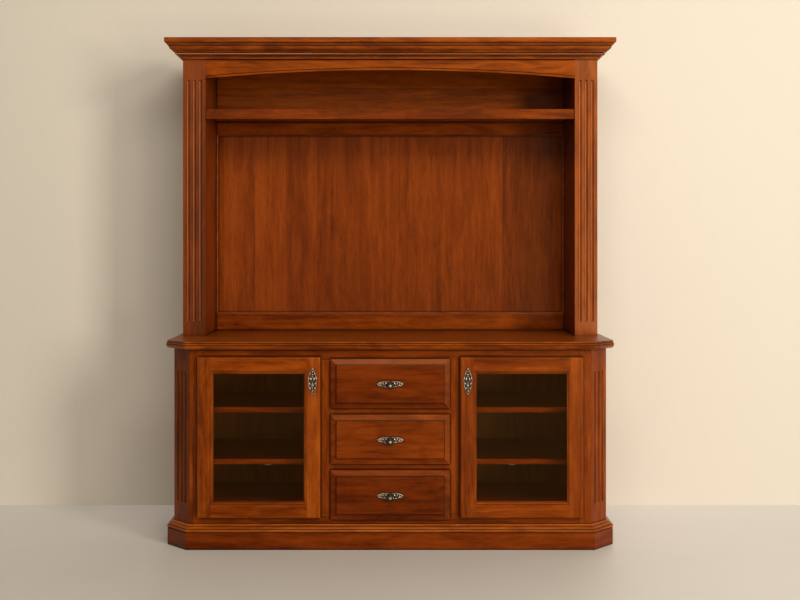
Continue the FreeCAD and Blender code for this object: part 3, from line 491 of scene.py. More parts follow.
@dataclass(frozen=True)
class Maple:
    """Pale hard maple of the drawer boxes, under a clear lacquer.

    Attributes:
        grain: the way that the boards run.
        seed: shifts the figure.
    """

    grain: Grain
    seed: float = 0.0

    DARK = (0.42, 0.235, 0.10)
    MIDDLE = (0.56, 0.36, 0.18)
    LIGHT = (0.66, 0.46, 0.26)

    def material(self) -> bpy.types.Material:
        """Builds the finish's nodes.

        Returns:
            The finish as a material.
        """
        board = Board.of_finish(f"maple_{self.grain.name.lower()}")
        drawn = (board.place() + (self.seed, self.seed, self.seed)) * self.grain.value
        streak = board.cloud(drawn, scale=38.0, detail=4.0, roughness=0.6, distortion=0.5)
        fibre = board.cloud(drawn, scale=520.0, detail=2.0)
        wood = board.ramp(streak * 0.75 + fibre * 0.25,
                          [(0.30, self.DARK), (0.52, self.MIDDLE), (0.72, self.LIGHT)])
        return board.ended(board.shader(
            Base_Color=wood, Roughness=fibre * 0.12 + 0.34, Coat_Weight=0.15, Coat_Roughness=0.2,
            Normal=board.bump(fibre + streak, strength=0.12, distance=0.0004)))


@dataclass(frozen=True)
class BackPlywood:
    """Stained plywood of the base's back, with the wide figure of a peeled sheet."""

    DARK = (0.21, 0.095, 0.020)
    MIDDLE = (0.26, 0.12, 0.027)
    LIGHT = (0.31, 0.15, 0.036)

    def material(self) -> bpy.types.Material:
        """Builds the finish's nodes.

        Returns:
            The finish as a material.
        """
        board = Board.of_finish("back_plywood")
        place = board.place()
        warp = board.cloud(place * (1.0, 1.0, 0.3), scale=3.2, detail=3.0) * 0.5
        bands = board.wire("ShaderNodeTexWave", {"wave_type": "BANDS", "bands_direction": "X"},
                           {"Vector": place + board.joined(warp, 0.0, 0.0), "Scale": 5.5, "Distortion": 2.4,
                            "Detail": 2.0, "Detail Scale": 1.5}, "Fac")
        fibre = board.cloud(place * Grain.UPRIGHT.value, scale=240.0, detail=3.0)
        wood = board.ramp(bands * 0.25 + fibre * 0.75,
                          [(0.25, self.DARK), (0.55, self.MIDDLE), (0.80, self.LIGHT)])
        return board.ended(board.shader(
            Base_Color=wood, Roughness=fibre * 0.15 + 0.48,
            Normal=board.bump(fibre, strength=0.2, distance=0.0006)))


@dataclass(frozen=True)
class SmokedGlass:
    """The door panes: float glass with a brown tint."""

    TINT = (0.97, 0.90, 0.76)
    FILM = (0.108, 0.036, 0.002)

    def material(self) -> bpy.types.Material:
        """Builds the finish's nodes.

        Returns:
            The finish as a material.
        """
        board = Board.of_finish("smoked_glass")
        smear = board.cloud(board.place(), scale=14.0, detail=3.0, roughness=0.6)
        shine = board.shader(Base_Color=(*self.FILM, 1.0), Roughness=smear * 0.04 + 0.03, IOR=1.5)
        mirrored = board.wire("ShaderNodeFresnel", {}, {"IOR": 1.2}, "Fac")
        return board.ended(board.layered((mirrored * 1.4 + 0.05).clamped(), board.clear(self.TINT), shine))


@dataclass(frozen=True)
class Pewter:
    """Antique cast metal: bright where it stands proud, dark in its recesses.

    Attributes:
        share: how bright it is rubbed where it stands proud.
        low: depth at which the dark of the recesses ends, in metres in front of the piece's own origin.
        rise: how far above that the metal is rubbed bright.
    """

    share: float
    low: float = 0.0023
    rise: float = 0.0011

    DARK = (0.030, 0.023, 0.015)
    BRIGHT = (0.66, 0.57, 0.46)
    CREASE_REACH = 0.0035

    def material(self) -> bpy.types.Material:
        """Builds the finish's nodes.

        Returns:
            The finish as a material.
        """
        board = Board.of_finish(f"antique_pewter_{self.share:.2f}")
        place = board.place()
        height = board.part(place, "Y") * -1.0
        rubbed = ((height - self.low) / self.rise).clamped()
        mottle = board.cloud(place, scale=320.0, detail=4.0, roughness=0.65)
        pits = board.cloud(place, scale=2600.0, detail=2.0)
        hidden = ((0.92 - board.open_sky(self.CREASE_REACH, own=True)) * 2.4).clamped()
        worn = rubbed * self.share + 0.06 - board.patina_and_shade() * 1.4 - hidden + (mottle - 0.5) * 1.3
        worn = worn.clamped()
        return board.ended(board.shader(
            Base_Color=board.mixed(worn, self.DARK, self.BRIGHT), Metallic=1.0, Roughness=0.52 - worn * 0.24,
            Normal=board.bump(pits + mottle, strength=0.25, distance=0.0002)))


@dataclass(frozen=True)
class Nickel:
    """Bright plated steel of hinges, pegs and screws."""

    DULL = (0.50, 0.49, 0.46)
    BRIGHT = (0.66, 0.65, 0.62)

    def material(self) -> bpy.types.Material:
        """Builds the finish's nodes.

        Returns:
            The finish as a material.
        """
        board = Board.of_finish("nickel_plate")
        brushed = board.cloud(board.place() * (1.0, 1.0, 0.1), scale=900.0, detail=3.0)
        return board.ended(board.shader(
            Base_Color=board.mixed(brushed, self.DULL, self.BRIGHT), Metallic=1.0,
            Roughness=brushed * 0.2 + 0.2, Normal=board.bump(brushed, strength=0.08, distance=0.0001)))


@dataclass(frozen=True)
class ClearRubber:
    """Soft pads behind the doors."""

    DARK = (0.20, 0.19, 0.17)
    LIGHT = (0.34, 0.32, 0.29)

    def material(self) -> bpy.types.Material:
        """Builds the finish's nodes.

        Returns:
            The finish as a material.
        """
        board = Board.of_finish("clear_rubber")
        grey = board.cloud(board.place(), scale=700.0, detail=2.0)
        return board.ended(board.shader(
            Base_Color=board.mixed(grey, self.DARK, self.LIGHT), Roughness=grey * 0.2 + 0.45,
            Normal=board.bump(grey, strength=0.1, distance=0.0001)))


Finish = Union[Cherry, Maple, BackPlywood, SmokedGlass, Pewter, Nickel, ClearRubber]


class Finisher:
    """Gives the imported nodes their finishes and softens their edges."""

    # How many figures there are to choose from.
    SEEDS = 997

    # How the edges are rounded: angles in degrees, lengths in metres.
    WELD_REACH = 0.00001
    FLAT_ANGLE = 0.3
    EDGE_ANGLE = 40.0
    ROUNDS = 2
    FACE_WEIGHT = 80

    def __init__(self) -> None:
        """Starts with no finish made."""
        self._made: Dict[Finish, bpy.types.Material] = {}

    def material(self, finish: Finish) -> bpy.types.Material:
        """Looks up the material of a finish, made once.

        Args:
            finish: the finish.

        Returns:
            Its material.
        """
        if finish not in self._made:
            self._made[finish] = finish.material()
        return self._made[finish]

    def paint(self, piece: bpy.types.Object, finish: Finish) -> None:
        """Puts one finish all over a piece."""
        piece.data.materials.clear()
        piece.data.materials.append(self.material(finish))

    def cherry(self, node: str, grain: Grain, ease: float = 0.0014, **look: float) -> None:
        """Finishes one cherry node, with a figure of its own, and eases its edges."""
        seed = (zlib.crc32(node.encode()) % self.SEEDS) / self.SEEDS
        self.dress(node, Cherry(grain, round(seed, 3), **look), ease)

    def dress(self, node: str, finish: Finish, ease: float = 0.0) -> None:
        """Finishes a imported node.

        Args:
            node: its name.
            finish: what it is made of.
            ease: how far its sharp edges are rounded, in metres, or 0.
        """
        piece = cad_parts[node]
        self.paint(piece, finish)
        if ease:
            self.ease(piece, ease)
        LOG.info("dressed %s", node)

    @classmethod
    def ease(cls, piece: bpy.types.Object, width: float) -> None:
        """Rounds a piece's sharp edges with modifiers, which leave its mesh as it is.

        Args:
            piece: the piece.
            width: how far from the edge the rounding starts, in metres.
        """
        weld = piece.modifiers.new("weld", "WELD")
        weld.merge_threshold = cls.WELD_REACH
        flat = piece.modifiers.new("flat", "DECIMATE")
        flat.decimate_type = "DISSOLVE"
        flat.angle_limit = math.radians(cls.FLAT_ANGLE)
        bevel = piece.modifiers.new("ease", "BEVEL")
        bevel.width = width
        bevel.segments = cls.ROUNDS
        bevel.limit_method = "ANGLE"
        bevel.angle_limit = math.radians(cls.EDGE_ANGLE)
        bevel.use_clamp_overlap = True
        bevel.harden_normals = False
        normals = piece.modifiers.new("normals", "WEIGHTED_NORMAL")
        normals.keep_sharp = True
        normals.weight = cls.FACE_WEIGHT


def linked(name: str, data: bpy.types.ID) -> bpy.types.Object:
    """Puts a new object into the scene.

    Args:
        name: its name.
        data: its mesh, curve, lamp or camera.

    Returns:
        The object.
    """
    piece = bpy.data.objects.new(name, data)
    bpy.context.scene.collection.objects.link(piece)
    return piece


def smoothed(mesh: bpy.types.Mesh, angle: float) -> bpy.types.Mesh:
    """Gives a mesh smooth shading.

    Args:
        mesh: the mesh.
        angle: where faces meet at more than this, in degrees, the edge stays sharp.

    Returns:
        The same mesh.
    """
    for face in mesh.polygons:
        face.use_smooth = True
    mesh.set_sharp_from_angle(angle=math.radians(angle))
    return mesh


def oval(x: float, y: float, across: float, up: float, turn: float, steps: int = 8) -> List[Point]:
    """Draws a closed oval outline.

    Args:
        x: its middle, across.
        y: its middle, up.
        across: its half width.
        up: its half height.
        turn: how far it is turned, in radians.
        steps: how many points it has.

    Returns:
        Its points, in order.
    """
    points = []
    for step in range(steps):
        angle = math.tau * step / steps
        a, b = across * math.cos(angle), up * math.sin(angle)
        points.append((x + a * math.cos(turn) - b * math.sin(turn),
                       y + a * math.sin(turn) + b * math.cos(turn)))
    return points


class Casting:
    """One cast metal piece, drawn flat: across, up, and out from the wood. It is stood up at the end."""

    ROUNDED_EDGE = 0.0004
    CREASE_ANGLE = 55.0

    # Petals: points round each, how full they are, how the knob's hang grows outwards, how dark the creases
    # between them are, and from which share of its reach the tip is left bright, a painted highlight where a
    # glint sits.
    PETAL_STEPS = 8
    PETAL_FULLNESS = 0.6
    HANG_CURVE = 1.5
    CREASE_DARK = 1.6
    GLINT_TIP = 0.985

    def __init__(self, name: str) -> None:
        """Args: name, the piece's name."""
        self.name = name
        self.shape = bmesh.new()
        self.patina_and_shade = self.shape.verts.layers.float.new(PATINA_AND_SHADE)

    def _take(self, curve: bpy.types.Curve, lift: float) -> None:
        """Adds a curve's mesh.

        Args:
            curve: the curve, which is used up.
            lift: how far off the wood it is put.
        """
        holder = linked("pattern", curve)
        mesh = bpy.data.meshes.new_from_object(holder.evaluated_get(bpy.context.evaluated_depsgraph_get()))
        mesh.transform(Matrix.Translation((0, 0, lift)))
        self.shape.from_mesh(mesh)
        bpy.data.objects.remove(holder)
        bpy.data.curves.remove(curve)
        bpy.data.meshes.remove(mesh)

    def plate(self, outline: Sequence[Point], holes: Sequence[Sequence[Point]], thick: float) -> None:
        """Adds a flat pierced plate with rounded edges.

        Args:
            outline: points of its smooth closed outline.
            holes: the same for each hole.
            thick: its thickness.
        """
        curve = bpy.data.curves.new("plate", "CURVE")
        curve.dimensions = "2D"
        curve.fill_mode = "BOTH"
        curve.resolution_u = 5
        for points in [outline, *holes]:
            self._spline(curve, [(x, y, 0.0, 1.0) for x, y in points], True)
        curve.bevel_depth = self.ROUNDED_EDGE
        curve.bevel_resolution = 1
        curve.offset = -self.ROUNDED_EDGE
        curve.extrude = thick / 2 - self.ROUNDED_EDGE
        self._take(curve, thick / 2)

    def tube(self, points: Sequence[Tuple[float, float, float, float]], radius: float,
             closed: bool = False) -> None:
        """Adds a round rib.

        Args:
            points: the smooth line that it follows, each point with its own share of the radius.
            radius: its radius.
            closed: whether it ends where it starts.
        """
        curve = bpy.data.curves.new("rib", "CURVE")
        curve.dimensions = "3D"
        curve.resolution_u = 4
        curve.bevel_depth = radius
        curve.bevel_resolution = 2
        curve.use_fill_caps = True
        self._spline(curve, points, closed)
        self._take(curve, 0.0)

    @staticmethod
    def _spline(curve: bpy.types.Curve, points: Sequence[Sequence[float]], closed: bool) -> None:
        """Adds a smooth line to a curve.

        Args:
            curve: the curve.
            points: X, Y, Z and share of the radius, point by point.
            closed: whether the line ends where it starts.
        """
        spline = curve.splines.new("NURBS")
        spline.points.add(len(points) - 1)
        for target, (x, y, z, share) in zip(spline.points, points):
            target.co = (x, y, z, 1.0)
            target.radius = share
        spline.order_u = 3
        spline.use_cyclic_u = closed
        spline.use_endpoint_u = not closed

    def ring(self, outline: Sequence[Point], lift: float, radius: float) -> None:
        """Adds a closed rib along an outline."""
        self.tube([(x, y, lift, 1.0) for x, y in outline], radius, True)

    def bead(self, x: float, y: float, lift: float, across: float, up: float, out: float,
             turn: float = 0.0) -> None:
        """Adds a low drop of metal: an oval dome."""
        spin = (Matrix.Translation((x, y, lift)) @ Matrix.Rotation(turn, 4, "Z")
                @ Matrix.Diagonal((across, up, out, 1)))
        bmesh.ops.create_uvsphere(self.shape, u_segments=14, v_segments=8, radius=1.0, matrix=spin)

    def bud(self, profile: Sequence[Point], lobes: int, depth: float, lift: float, shift: Point,
            lean: float) -> None:
        """Adds a turned knob whose side is cut into petals.

        Args:
            profile: (radius, reach) pairs from the plate outwards.
            lobes: how many petals go round.
            depth: how deep the creases between them are, as a share of the radius.
            lift: how far off the wood it starts.
            shift: where its foot is.
            lean: how far its tip hangs down.
        """
        around = lobes * self.PETAL_STEPS
        reach_end = profile[-1][1]
        rows = []
        for radius, reach in profile:
            row = []
            drop = -lean * (reach / reach_end) ** self.HANG_CURVE
            # Painted highlight: the knob's tip is left bright, where the lamp's glint sits.
            bright = reach > self.GLINT_TIP * reach_end
            for step in range(around):
                angle = math.tau * step / around
                crease = abs(math.sin(angle * lobes / 2)) ** self.PETAL_FULLNESS
                r = radius * (1 - depth * (1 - crease))
                x, y = shift[0] + r * math.cos(angle), shift[1] + drop + r * math.sin(angle)
                point = self.shape.verts.new((x, y, lift + reach))
                point[self.patina_and_shade] = 0.0 if bright else self.CREASE_DARK - crease
                row.append(point)
            rows.append(row)
        for lower, upper in zip(rows, rows[1:]):
            for step in range(around):
                after = (step + 1) % around
                self.shape.faces.new((lower[step], lower[after], upper[after], upper[step]))
        self.shape.faces.new(rows[-1])
        self.shape.faces.new(reversed(rows[0]))

    def cast(self) -> bpy.types.Mesh:
        """Ends the casting.

        Returns:
            Its mesh, stood up so that it faces the front.
        """
        mesh = bpy.data.meshes.new(self.name)
        bmesh.ops.recalc_face_normals(self.shape, faces=self.shape.faces)
        self.shape.to_mesh(mesh)
        self.shape.free()
        mesh.transform(Matrix.Rotation(math.radians(90), 4, "X"))
        return smoothed(mesh, self.CREASE_ANGLE)


@dataclass
class CastPull:
    """What the two pulls share: a pierced plate with a ribbed rim and leaves on it, in metres.

    Attributes:
        plate_thick: thickness of the plate.
        rim: where the rib round it runs, across and up, as shares of its outline.
        rib: radius of that rib.
        leaf_out: how far its leaves stand out.
        petals: how many petals the knob or drop on it has.
    """

    plate_thick: float
    rim: Point
    rib: float = 0.0008
    leaf_out: float = 0.0026
    petals: int = 6

    # Holes in the right half of the plate and leaves on it: middle, half width, half height and turn.
    HOLES: ClassVar[List[Oval]] = []
    LEAVES: ClassVar[List[Oval]] = []

    def plate(self, casting: Casting, outline: Sequence[Point]) -> None:
        """Adds the plate, pierced on both sides of its middle line."""
        holes = []
        for x, y, across, up, turn in self.HOLES:
            for way in (BOTH_WAYS if x else (1,)):
                holes.append(oval(way * x, y, across, up, way * turn))
        casting.plate(outline, holes, self.plate_thick)

    def rim_rib(self, casting: Casting, line: Sequence[Point], way: int) -> None:
        """Adds a rib just inside a line of the outline: way is -1 on the left and 1 on the right."""
        inside = [(way * x * self.rim[0], y * self.rim[1], self.plate_thick, 1.0) for x, y in line]
        casting.tube(inside, self.rib)

    def leaves(self, casting: Casting, way: int) -> None:
        """Adds the leaves of one half: way is -1 on the left and 1 on the right."""
        for x, y, across, up, turn in self.LEAVES:
            casting.bead(way * x, y, self.plate_thick, across, up, self.leaf_out, way * turn)


@dataclass
class DrawerPull(CastPull):
    """The drawers' pull: a pierced, leafy back plate and a bud-shaped knob, in metres.

    Attributes:
        bead_out: how far its small beads stand out.
        knob_lean: how far the knob's tip hangs down.
        petal_depth: how deep its petals are cut, as a share of the knob's radius.
    """

    plate_thick: float = 0.0024
    rim: Point = (0.985, 0.90)
    bead_out: float = 0.0024
    knob_lean: float = 0.0045
    petal_depth: float = 0.30

    # The right half of the outline, above and below: across, up.
    UPPER = [(0.0, 0.0100), (0.0075, 0.0112), (0.0150, 0.0080), (0.0225, 0.0104), (0.0310, 0.0092),
             (0.0390, 0.0066), (0.0455, 0.0044), (0.0490, 0.0)]
    LOWER = [(0.0455, -0.0052), (0.0385, -0.0082), (0.0305, -0.0074), (0.0225, -0.0106), (0.0150, -0.0118),
             (0.0075, -0.0156), (0.0, -0.0192)]
    HOLES = [(0.0210, 0.0012, 0.0017, 0.0042, 0.5), (0.0138, -0.0048, 0.0026, 0.0034, 0.3),
             (0.0300, 0.0010, 0.0015, 0.0040, -0.3), (0.0242, -0.0060, 0.0024, 0.0015, -0.3),
             (0.0375, -0.0004, 0.0022, 0.0024, 0.0)]
    LEAVES = [(0.0170, 0.0016, 0.0022, 0.0050, 0.75), (0.0256, 0.0014, 0.0020, 0.0050, -0.35),
              (0.0105, -0.0100, 0.0022, 0.0044, -0.5)]
    # Beads of the right half: middle, half width and half height.
    BEADS = [(0.0262, 0.0076, 0.0024, 0.0020), (0.0155, 0.0062, 0.0026, 0.0020),
             (0.0300, -0.0062, 0.0026, 0.0018), (0.0205, -0.0082, 0.0024, 0.0021),
             (0.0452, -0.0002, 0.0020, 0.0024), (0.0340, 0.0060, 0.0022, 0.0017)]
    # The knob's radius and reach, from its foot to its tip, and where its foot is.
    KNOB = [(0.0066, 0.0), (0.0066, 0.0030), (0.0046, 0.0060), (0.0044, 0.0085), (0.0075, 0.0105),
            (0.0112, 0.0128), (0.0133, 0.0160), (0.0130, 0.0188), (0.0104, 0.0212), (0.0066, 0.0228),
            (0.0026, 0.0235), (0.0012, 0.0236)]
    KNOB_FOOT = (0.0, -0.0005)
    # The ring round each outer hole: its middle, half width and half height; and the radius of its rib.
    RING = (0.0375, -0.0004, 0.0044, 0.0046)
    RING_RIB = 0.0013

    def build(self) -> bpy.types.Mesh:
        """Builds the pull.

        Returns:
            Its mesh, with its own origin at the middle of the plate's back.
        """
        casting = Casting("drawer_pull")
        outline = self.UPPER + self.LOWER + [(-x, y) for x, y in reversed(self.LOWER[:-1])]
        outline += [(-x, y) for x, y in reversed(self.UPPER[1:])]
        self.plate(casting, outline)
        top = self.plate_thick
        for way in BOTH_WAYS:
            x, y, across, up = self.RING
            casting.ring(oval(way * x, y, across, up, turn=0.0, steps=10), top, self.RING_RIB)
            self.rim_rib(casting, self.UPPER[1:], way)
            self.rim_rib(casting, self.LOWER, way)
            for x, y, across, up in self.BEADS:
                casting.bead(way * x, y, top, across, up, self.bead_out)
            self.leaves(casting, way)
        casting.bud(self.KNOB, self.petals, self.petal_depth, top, self.KNOB_FOOT, self.knob_lean)
        return casting.cast()


@dataclass
class DoorPull(CastPull):
    """The doors' upright pull: a pointed oval of leaf scrolls with a small drop near its foot, in metres.

    Attributes:
        half_length: half the plate's height.
        petal_depth: how deep its petals are cut, as a share of the drop's radius.
        drop_lean: how far the drop's tip hangs down.
        stem_radius: radius of the stem above the drop.
    """

    plate_thick: float = 0.0022
    rim: Point = (0.93, 0.975)
    half_length: float = 0.0500
    petal_depth: float = 0.10
    drop_lean: float = 0.0006
    stem_radius: float = 0.0011

    # The right half of the outline, without its foot: across, up.
    EDGE = [(0.0, 0.0500), (0.0030, 0.0445), (0.0062, 0.0385), (0.0085, 0.0320), (0.0120, 0.0255),
            (0.0128, 0.0195), (0.0160, 0.0130), (0.0165, 0.0050), (0.0150, -0.0020), (0.0158, -0.0085),
            (0.0140, -0.0160), (0.0118, -0.0225), (0.0122, -0.0280), (0.0090, -0.0345), (0.0062, -0.0395),
            (0.0040, -0.0450)]
    HOLES = [(0.0050, 0.0285, 0.0021, 0.0066, 0.15), (0.0098, 0.0185, 0.0016, 0.0034, 0.3),
             (0.0, 0.0050, 0.0021, 0.0075, 0.0), (0.0102, 0.0010, 0.0019, 0.0040, -0.1),
             (0.0052, -0.0100, 0.0021, 0.0040, -0.45), (0.0040, -0.0225, 0.0019, 0.0050, -0.25),
             (0.0108, -0.0175, 0.0013, 0.0034, -0.4), (0.0046, -0.0330, 0.0015, 0.0034, -0.3)]
    LEAVES = [(0.0060, 0.0085, 0.0026, 0.0056, -0.1), (0.0135, 0.0110, 0.0022, 0.0046, 0.15),
              (0.0102, -0.0080, 0.0021, 0.0046, -0.6), (0.0082, -0.0255, 0.0019, 0.0048, -0.35),
              (0.0086, 0.0280, 0.0016, 0.0046, 0.25), (0.0026, -0.0150, 0.0015, 0.0044, 0.4)]
    # Beads on the middle line: height and half width.
    BEADS = [(0.0450, 0.0019), (0.0355, 0.0024), (0.0250, 0.0028), (0.0160, 0.0020), (-0.0445, 0.0021)]
    # The drop's radius and reach, from its foot to its tip, and where its foot is.
    DROP = [(0.0026, 0.0), (0.0026, 0.0020), (0.0022, 0.0034), (0.0042, 0.0048), (0.0052, 0.0066),
            (0.0046, 0.0082), (0.0024, 0.0090), (0.0008, 0.0092)]
    DROP_FOOT = (0.0, -0.0335)
    # The stem above the drop: up, and share of its radius.
    STEM = [(-0.0040, 1.0), (-0.0150, 1.0), (-0.0280, 0.7)]

    def build(self) -> bpy.types.Mesh:
        """Builds the pull.

        Returns:
            Its mesh, with its own origin at the middle of the plate's back.
        """
        casting = Casting("door_pull")
        half_outline = self.EDGE + [(0.0, -self.half_length)]
        self.plate(casting, half_outline + [(-x, y) for x, y in reversed(self.EDGE[1:])])
        top = self.plate_thick
        for way in BOTH_WAYS:
            self.rim_rib(casting, half_outline, way)
            self.leaves(casting, way)
        for y, size in self.BEADS:
            casting.bead(0.0, y, top, size, size * 1.1, self.leaf_out)
        casting.tube([(0.0, y, top, share) for y, share in self.STEM], self.stem_radius)
        casting.bud(self.DROP, self.petals, self.petal_depth, top, self.DROP_FOOT, self.drop_lean)
        return casting.cast()


@dataclass(frozen=True)
class RopeLength:
    """One length of the rope bead.

    Attributes:
        origin: its middle, on the face that it sits on.
        along: which way it runs.
        out: which way it stands out.
        half: half its length, in metres.
        both: whether both its ends are mitred, or only the front one.
    """

    origin: Vector
    along: Vector
    out: Vector
    half: float
    both: bool


@dataclass
class RopeBead:
    """The small twisted rope under the cornice, in three mitred lengths, in metres.

    Attributes:
        seat_reach: how far the bead stands out of its seat.
        pitch: length of one strand's stroke along the bead.
        step: length between two rows of the mesh.
        sections: faces round the half round.
        depth: how deep the strands are cut, as a share of the radius.
        fullness: how round a strand is; lower is fuller.
        dark: how dark the shade painted into a cut is.
        fade: how fast it fades towards the top of a strand.
    """

    seat_reach: float = 0.0055
    pitch: float = 0.0098
    step: float = 0.0010
    sections: int = 8
    depth: float = 0.65
    fullness: float = 0.7
    dark: float = 1.9
    fade: float = 2.1

    FRONT = Vector((0, -1, 0))
    CREASE_ANGLE = 60.0

    def build(self, low: Vector, high: Vector, rear: float) -> bpy.types.Mesh:
        """Builds the three lengths.

        Args:
            low: lowest corner of the plain bead's box.
            high: highest corner of it.
            rear: Y at which the side lengths end.

        Returns:
            The mesh, in place.
        """
        shape = bmesh.new()
        cuts = shape.verts.layers.float.new(PATINA_AND_SHADE)
        width = high.x - self.seat_reach
        radius = (high.z - low.z) / 2
        middle = (high.z + low.z) / 2
        front = low.y + self.seat_reach
        side = (rear - front) / 2
        lengths = [RopeLength(Vector((0, front, middle)), Vector((1, 0, 0)), self.FRONT, width, True)]
        for way in BOTH_WAYS:
            lengths.append(RopeLength(Vector((way * width, front + side, middle)), Vector((0, way, 0)),
                                      Vector((way, 0, 0)), side, False))
        for length in lengths:
            self._twist(shape, cuts, length, radius)
        mesh = bpy.data.meshes.new("rope_bead")
        shape.to_mesh(mesh)
        shape.free()
        return smoothed(mesh, self.CREASE_ANGLE)

    def _twist(self, shape: bmesh.types.BMesh, cuts: bmesh.types.BMLayerItem, length: RopeLength,
               radius: float) -> None:
        """Adds one length: rows of points over the half round, waved by the twist.

        Args:
            shape: the mesh that it is added to.
            cuts: the layer that marks the cuts between the strands.
            length: where it goes.
            radius: half the bead's height.
        """
        count = int(2 * length.half / self.step)
        rows = []
        for index in range(count + 1):
            share = 2 * index / count - 1
            mitred = length.both or share * length.along.dot(self.FRONT) > 0
            row = []
            for turn in range(self.sections + 1):
                angle = math.pi * (turn / self.sections - 0.5)
                wave = abs(math.cos(angle - math.pi * share * length.half / self.pitch))
                size = 1 - self.depth * (1 - wave ** self.fullness)
                rise = radius * size * math.sin(angle)
                stand = self.seat_reach * size * math.cos(angle)
                stretch = stand * share if mitred else 0.0
                point = shape.verts.new(length.origin + length.along * (share * length.half + stretch)
                                        + length.out * stand + Vector((0, 0, rise)))
                # Painted shade: darkest deep in a cut between strands, fading to none on a strand's top.
                point[cuts] = self.dark - self.fade * wave
                row.append(point)
            rows.append(row)
        for first, second in zip(rows, rows[1:]):
            for turn in range(self.sections):
                shape.faces.new((first[turn], second[turn], second[turn + 1], first[turn + 1]))
        for row in (rows[0], rows[-1]):
            shape.faces.new(row)


@dataclass
class BaseCabinet:
    """The lower half: case, face frame, worktop, plinth, shelves and runners.

    Attributes:
        finisher: gives the nodes their finishes.
        plank: width of the boards that the panels are glued from, in metres.
        worktop_lit_edge: depth of the worktop's front edge, which stays light while the top behind it gets
            painted shade, in metres.
        shelf_lit_edge: depth of the shelves' front edge, which stays light while the rest gets painted shade,
            in metres.
    """

    finisher: Finisher
    plank: float = 0.14
    worktop_lit_edge: float = 0.014
    shelf_lit_edge: float = 0.004

    def dress(self) -> None:
        """Finishes the base's nodes."""
        dress, cherry = self.finisher.dress, self.finisher.cherry
        for side in Side:
            cherry(f"{side.value}_side_panel", Grain.UPRIGHT, plank=self.plank)
            # Painted light: the right corner post is made a little lighter and the left darker, as the key
            # lamp is on the right.
            dress(f"{side.value}_corner_post",
                  Cherry(Grain.UPRIGHT, seed=0.53 + 0.2 * side.sign, tone=1.0 + 0.06 * side.sign, coat=0.0,
                         figured=0.7, crease_shade=0.6))
        cherry("face_frame_stiles", Grain.UPRIGHT)
        cherry("face_frame_mullions", Grain.UPRIGHT, tone=0.92)
        cherry("face_frame_rails", Grain.LEVEL, tone=0.84)
        cherry("cabinet_floor", Grain.LEVEL, tone=0.8, plank=self.plank)
        cherry("drawer_bay_partitions", Grain.UPRIGHT, tone=0.8, plank=self.plank)
        # Painted light and shade: the worktop is made lighter for its lit front edge, and its top behind that
        # edge darker.
        dress("countertop", Cherry(Grain.LEVEL, seed=0.61, tone=1.30, behind_shade=0.34,
                                   shade_behind_y=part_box("countertop")[0].y + self.worktop_lit_edge), ease=0.0014)
        cherry("plinth_boards", Grain.AROUND, tone=0.76)
        # Painted light: the plinth cap is made much lighter, for the light on its upward faces.
        dress("plinth_cap", Cherry(Grain.AROUND, seed=0.71, tone=1.6, coat=0.1, crease_shade=0.6))
        # Painted shade: the shelves are darkened behind their front edge.
        dress("cabinet_shelves", Cherry(Grain.LEVEL, seed=0.29, tone=1.1,
                                        shade_behind_y=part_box("cabinet_shelves")[0].y + self.shelf_lit_edge), ease=0.0009)
        dress("base_back_panel", BackPlywood())
        dress("drawer_runners", Maple(Grain.DEEP), ease=0.0006)
        dress("shelf_pegs", Nickel())
        dress("hinge_arms", Nickel(), ease=0.0005)
        dress("door_bumpers", ClearRubber())


@dataclass
class Hutch:
    """The upper half: sides, pilasters, header, shelf, planked back, cornice and rope bead.

    Attributes:
        finisher: gives the nodes their finishes.
        body: the body that carries it.
        plank: width of the boards that the panels are glued from, in metres.
    """

    finisher: Finisher
    body: str = "cabinet"
    plank: float = 0.128

    def dress(self) -> None:
        """Finishes the hutch's nodes."""
        dress, cherry = self.finisher.dress, self.finisher.cherry
        for side in Side:
            # Painted shade: the hutch sides are made darker all over, for the shade on their inner faces.
            cherry(f"{side.value}_hutch_side", Grain.UPRIGHT, tone=0.70, plank=self.plank)
            # Painted light: the right pilaster is made lighter and the left darker, as the key lamp is on the
            # right.
            dress(f"{side.value}_pilaster",
                  Cherry(Grain.UPRIGHT, seed=0.41 + 0.3 * side.sign, tone=0.78 + 0.16 * side.sign, coat=0.12,
                         crease_shade=0.3, gloss=0.9, sheen=(1.0, 0.46, 0.18)), ease=0.0010)
        cherry("arched_header", Grain.LEVEL, tone=1.08, ease=0.0)
        cherry("hutch_shelf", Grain.LEVEL, tone=0.90, coat=0.15)
        cherry("hutch_top", Grain.LEVEL, tone=0.8)
        cherry("hutch_back_frame", Grain.LEVEL, tone=0.92)
        cherry("hutch_back_panel", Grain.UPRIGHT, tone=0.94, plank=self.plank, coat=0.2, figured=0.45)
        cherry("hutch_back_beads", Grain.AROUND, ease=0.0, coat=0.1)
        cherry("hutch_upper_back", Grain.LEVEL, tone=1.4, plank=self.plank, coat=0.15, figured=0.45)
        cherry("cornice", Grain.AROUND, tone=1.36, ease=0.0, coat=0.2)
        dress("joining_plates", Nickel(), ease=0.0003)
        dress("joining_screws", Nickel())

    def build_rope_bead(self) -> bpy.types.Object:
        """Builds the twisted bead that stands for the plain one.

        Returns:
            The bead.
        """
        low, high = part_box("rope_bead")
        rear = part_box("cornice")[1].y
        piece = linked("twisted_rope_bead", RopeBead().build(low, high, rear))
        # Painted light: the rope is made much lighter, for the glints on its strands.
        self.finisher.paint(piece, Cherry(Grain.AROUND, seed=0.37, tone=2.0, coat=0.6, figured=0.4, crease_shade=0.3,
                                          carved=True, gloss=1.0, sheen=(1.0, 0.60, 0.40)))
        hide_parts("rope_bead")
        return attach(piece, self.body)


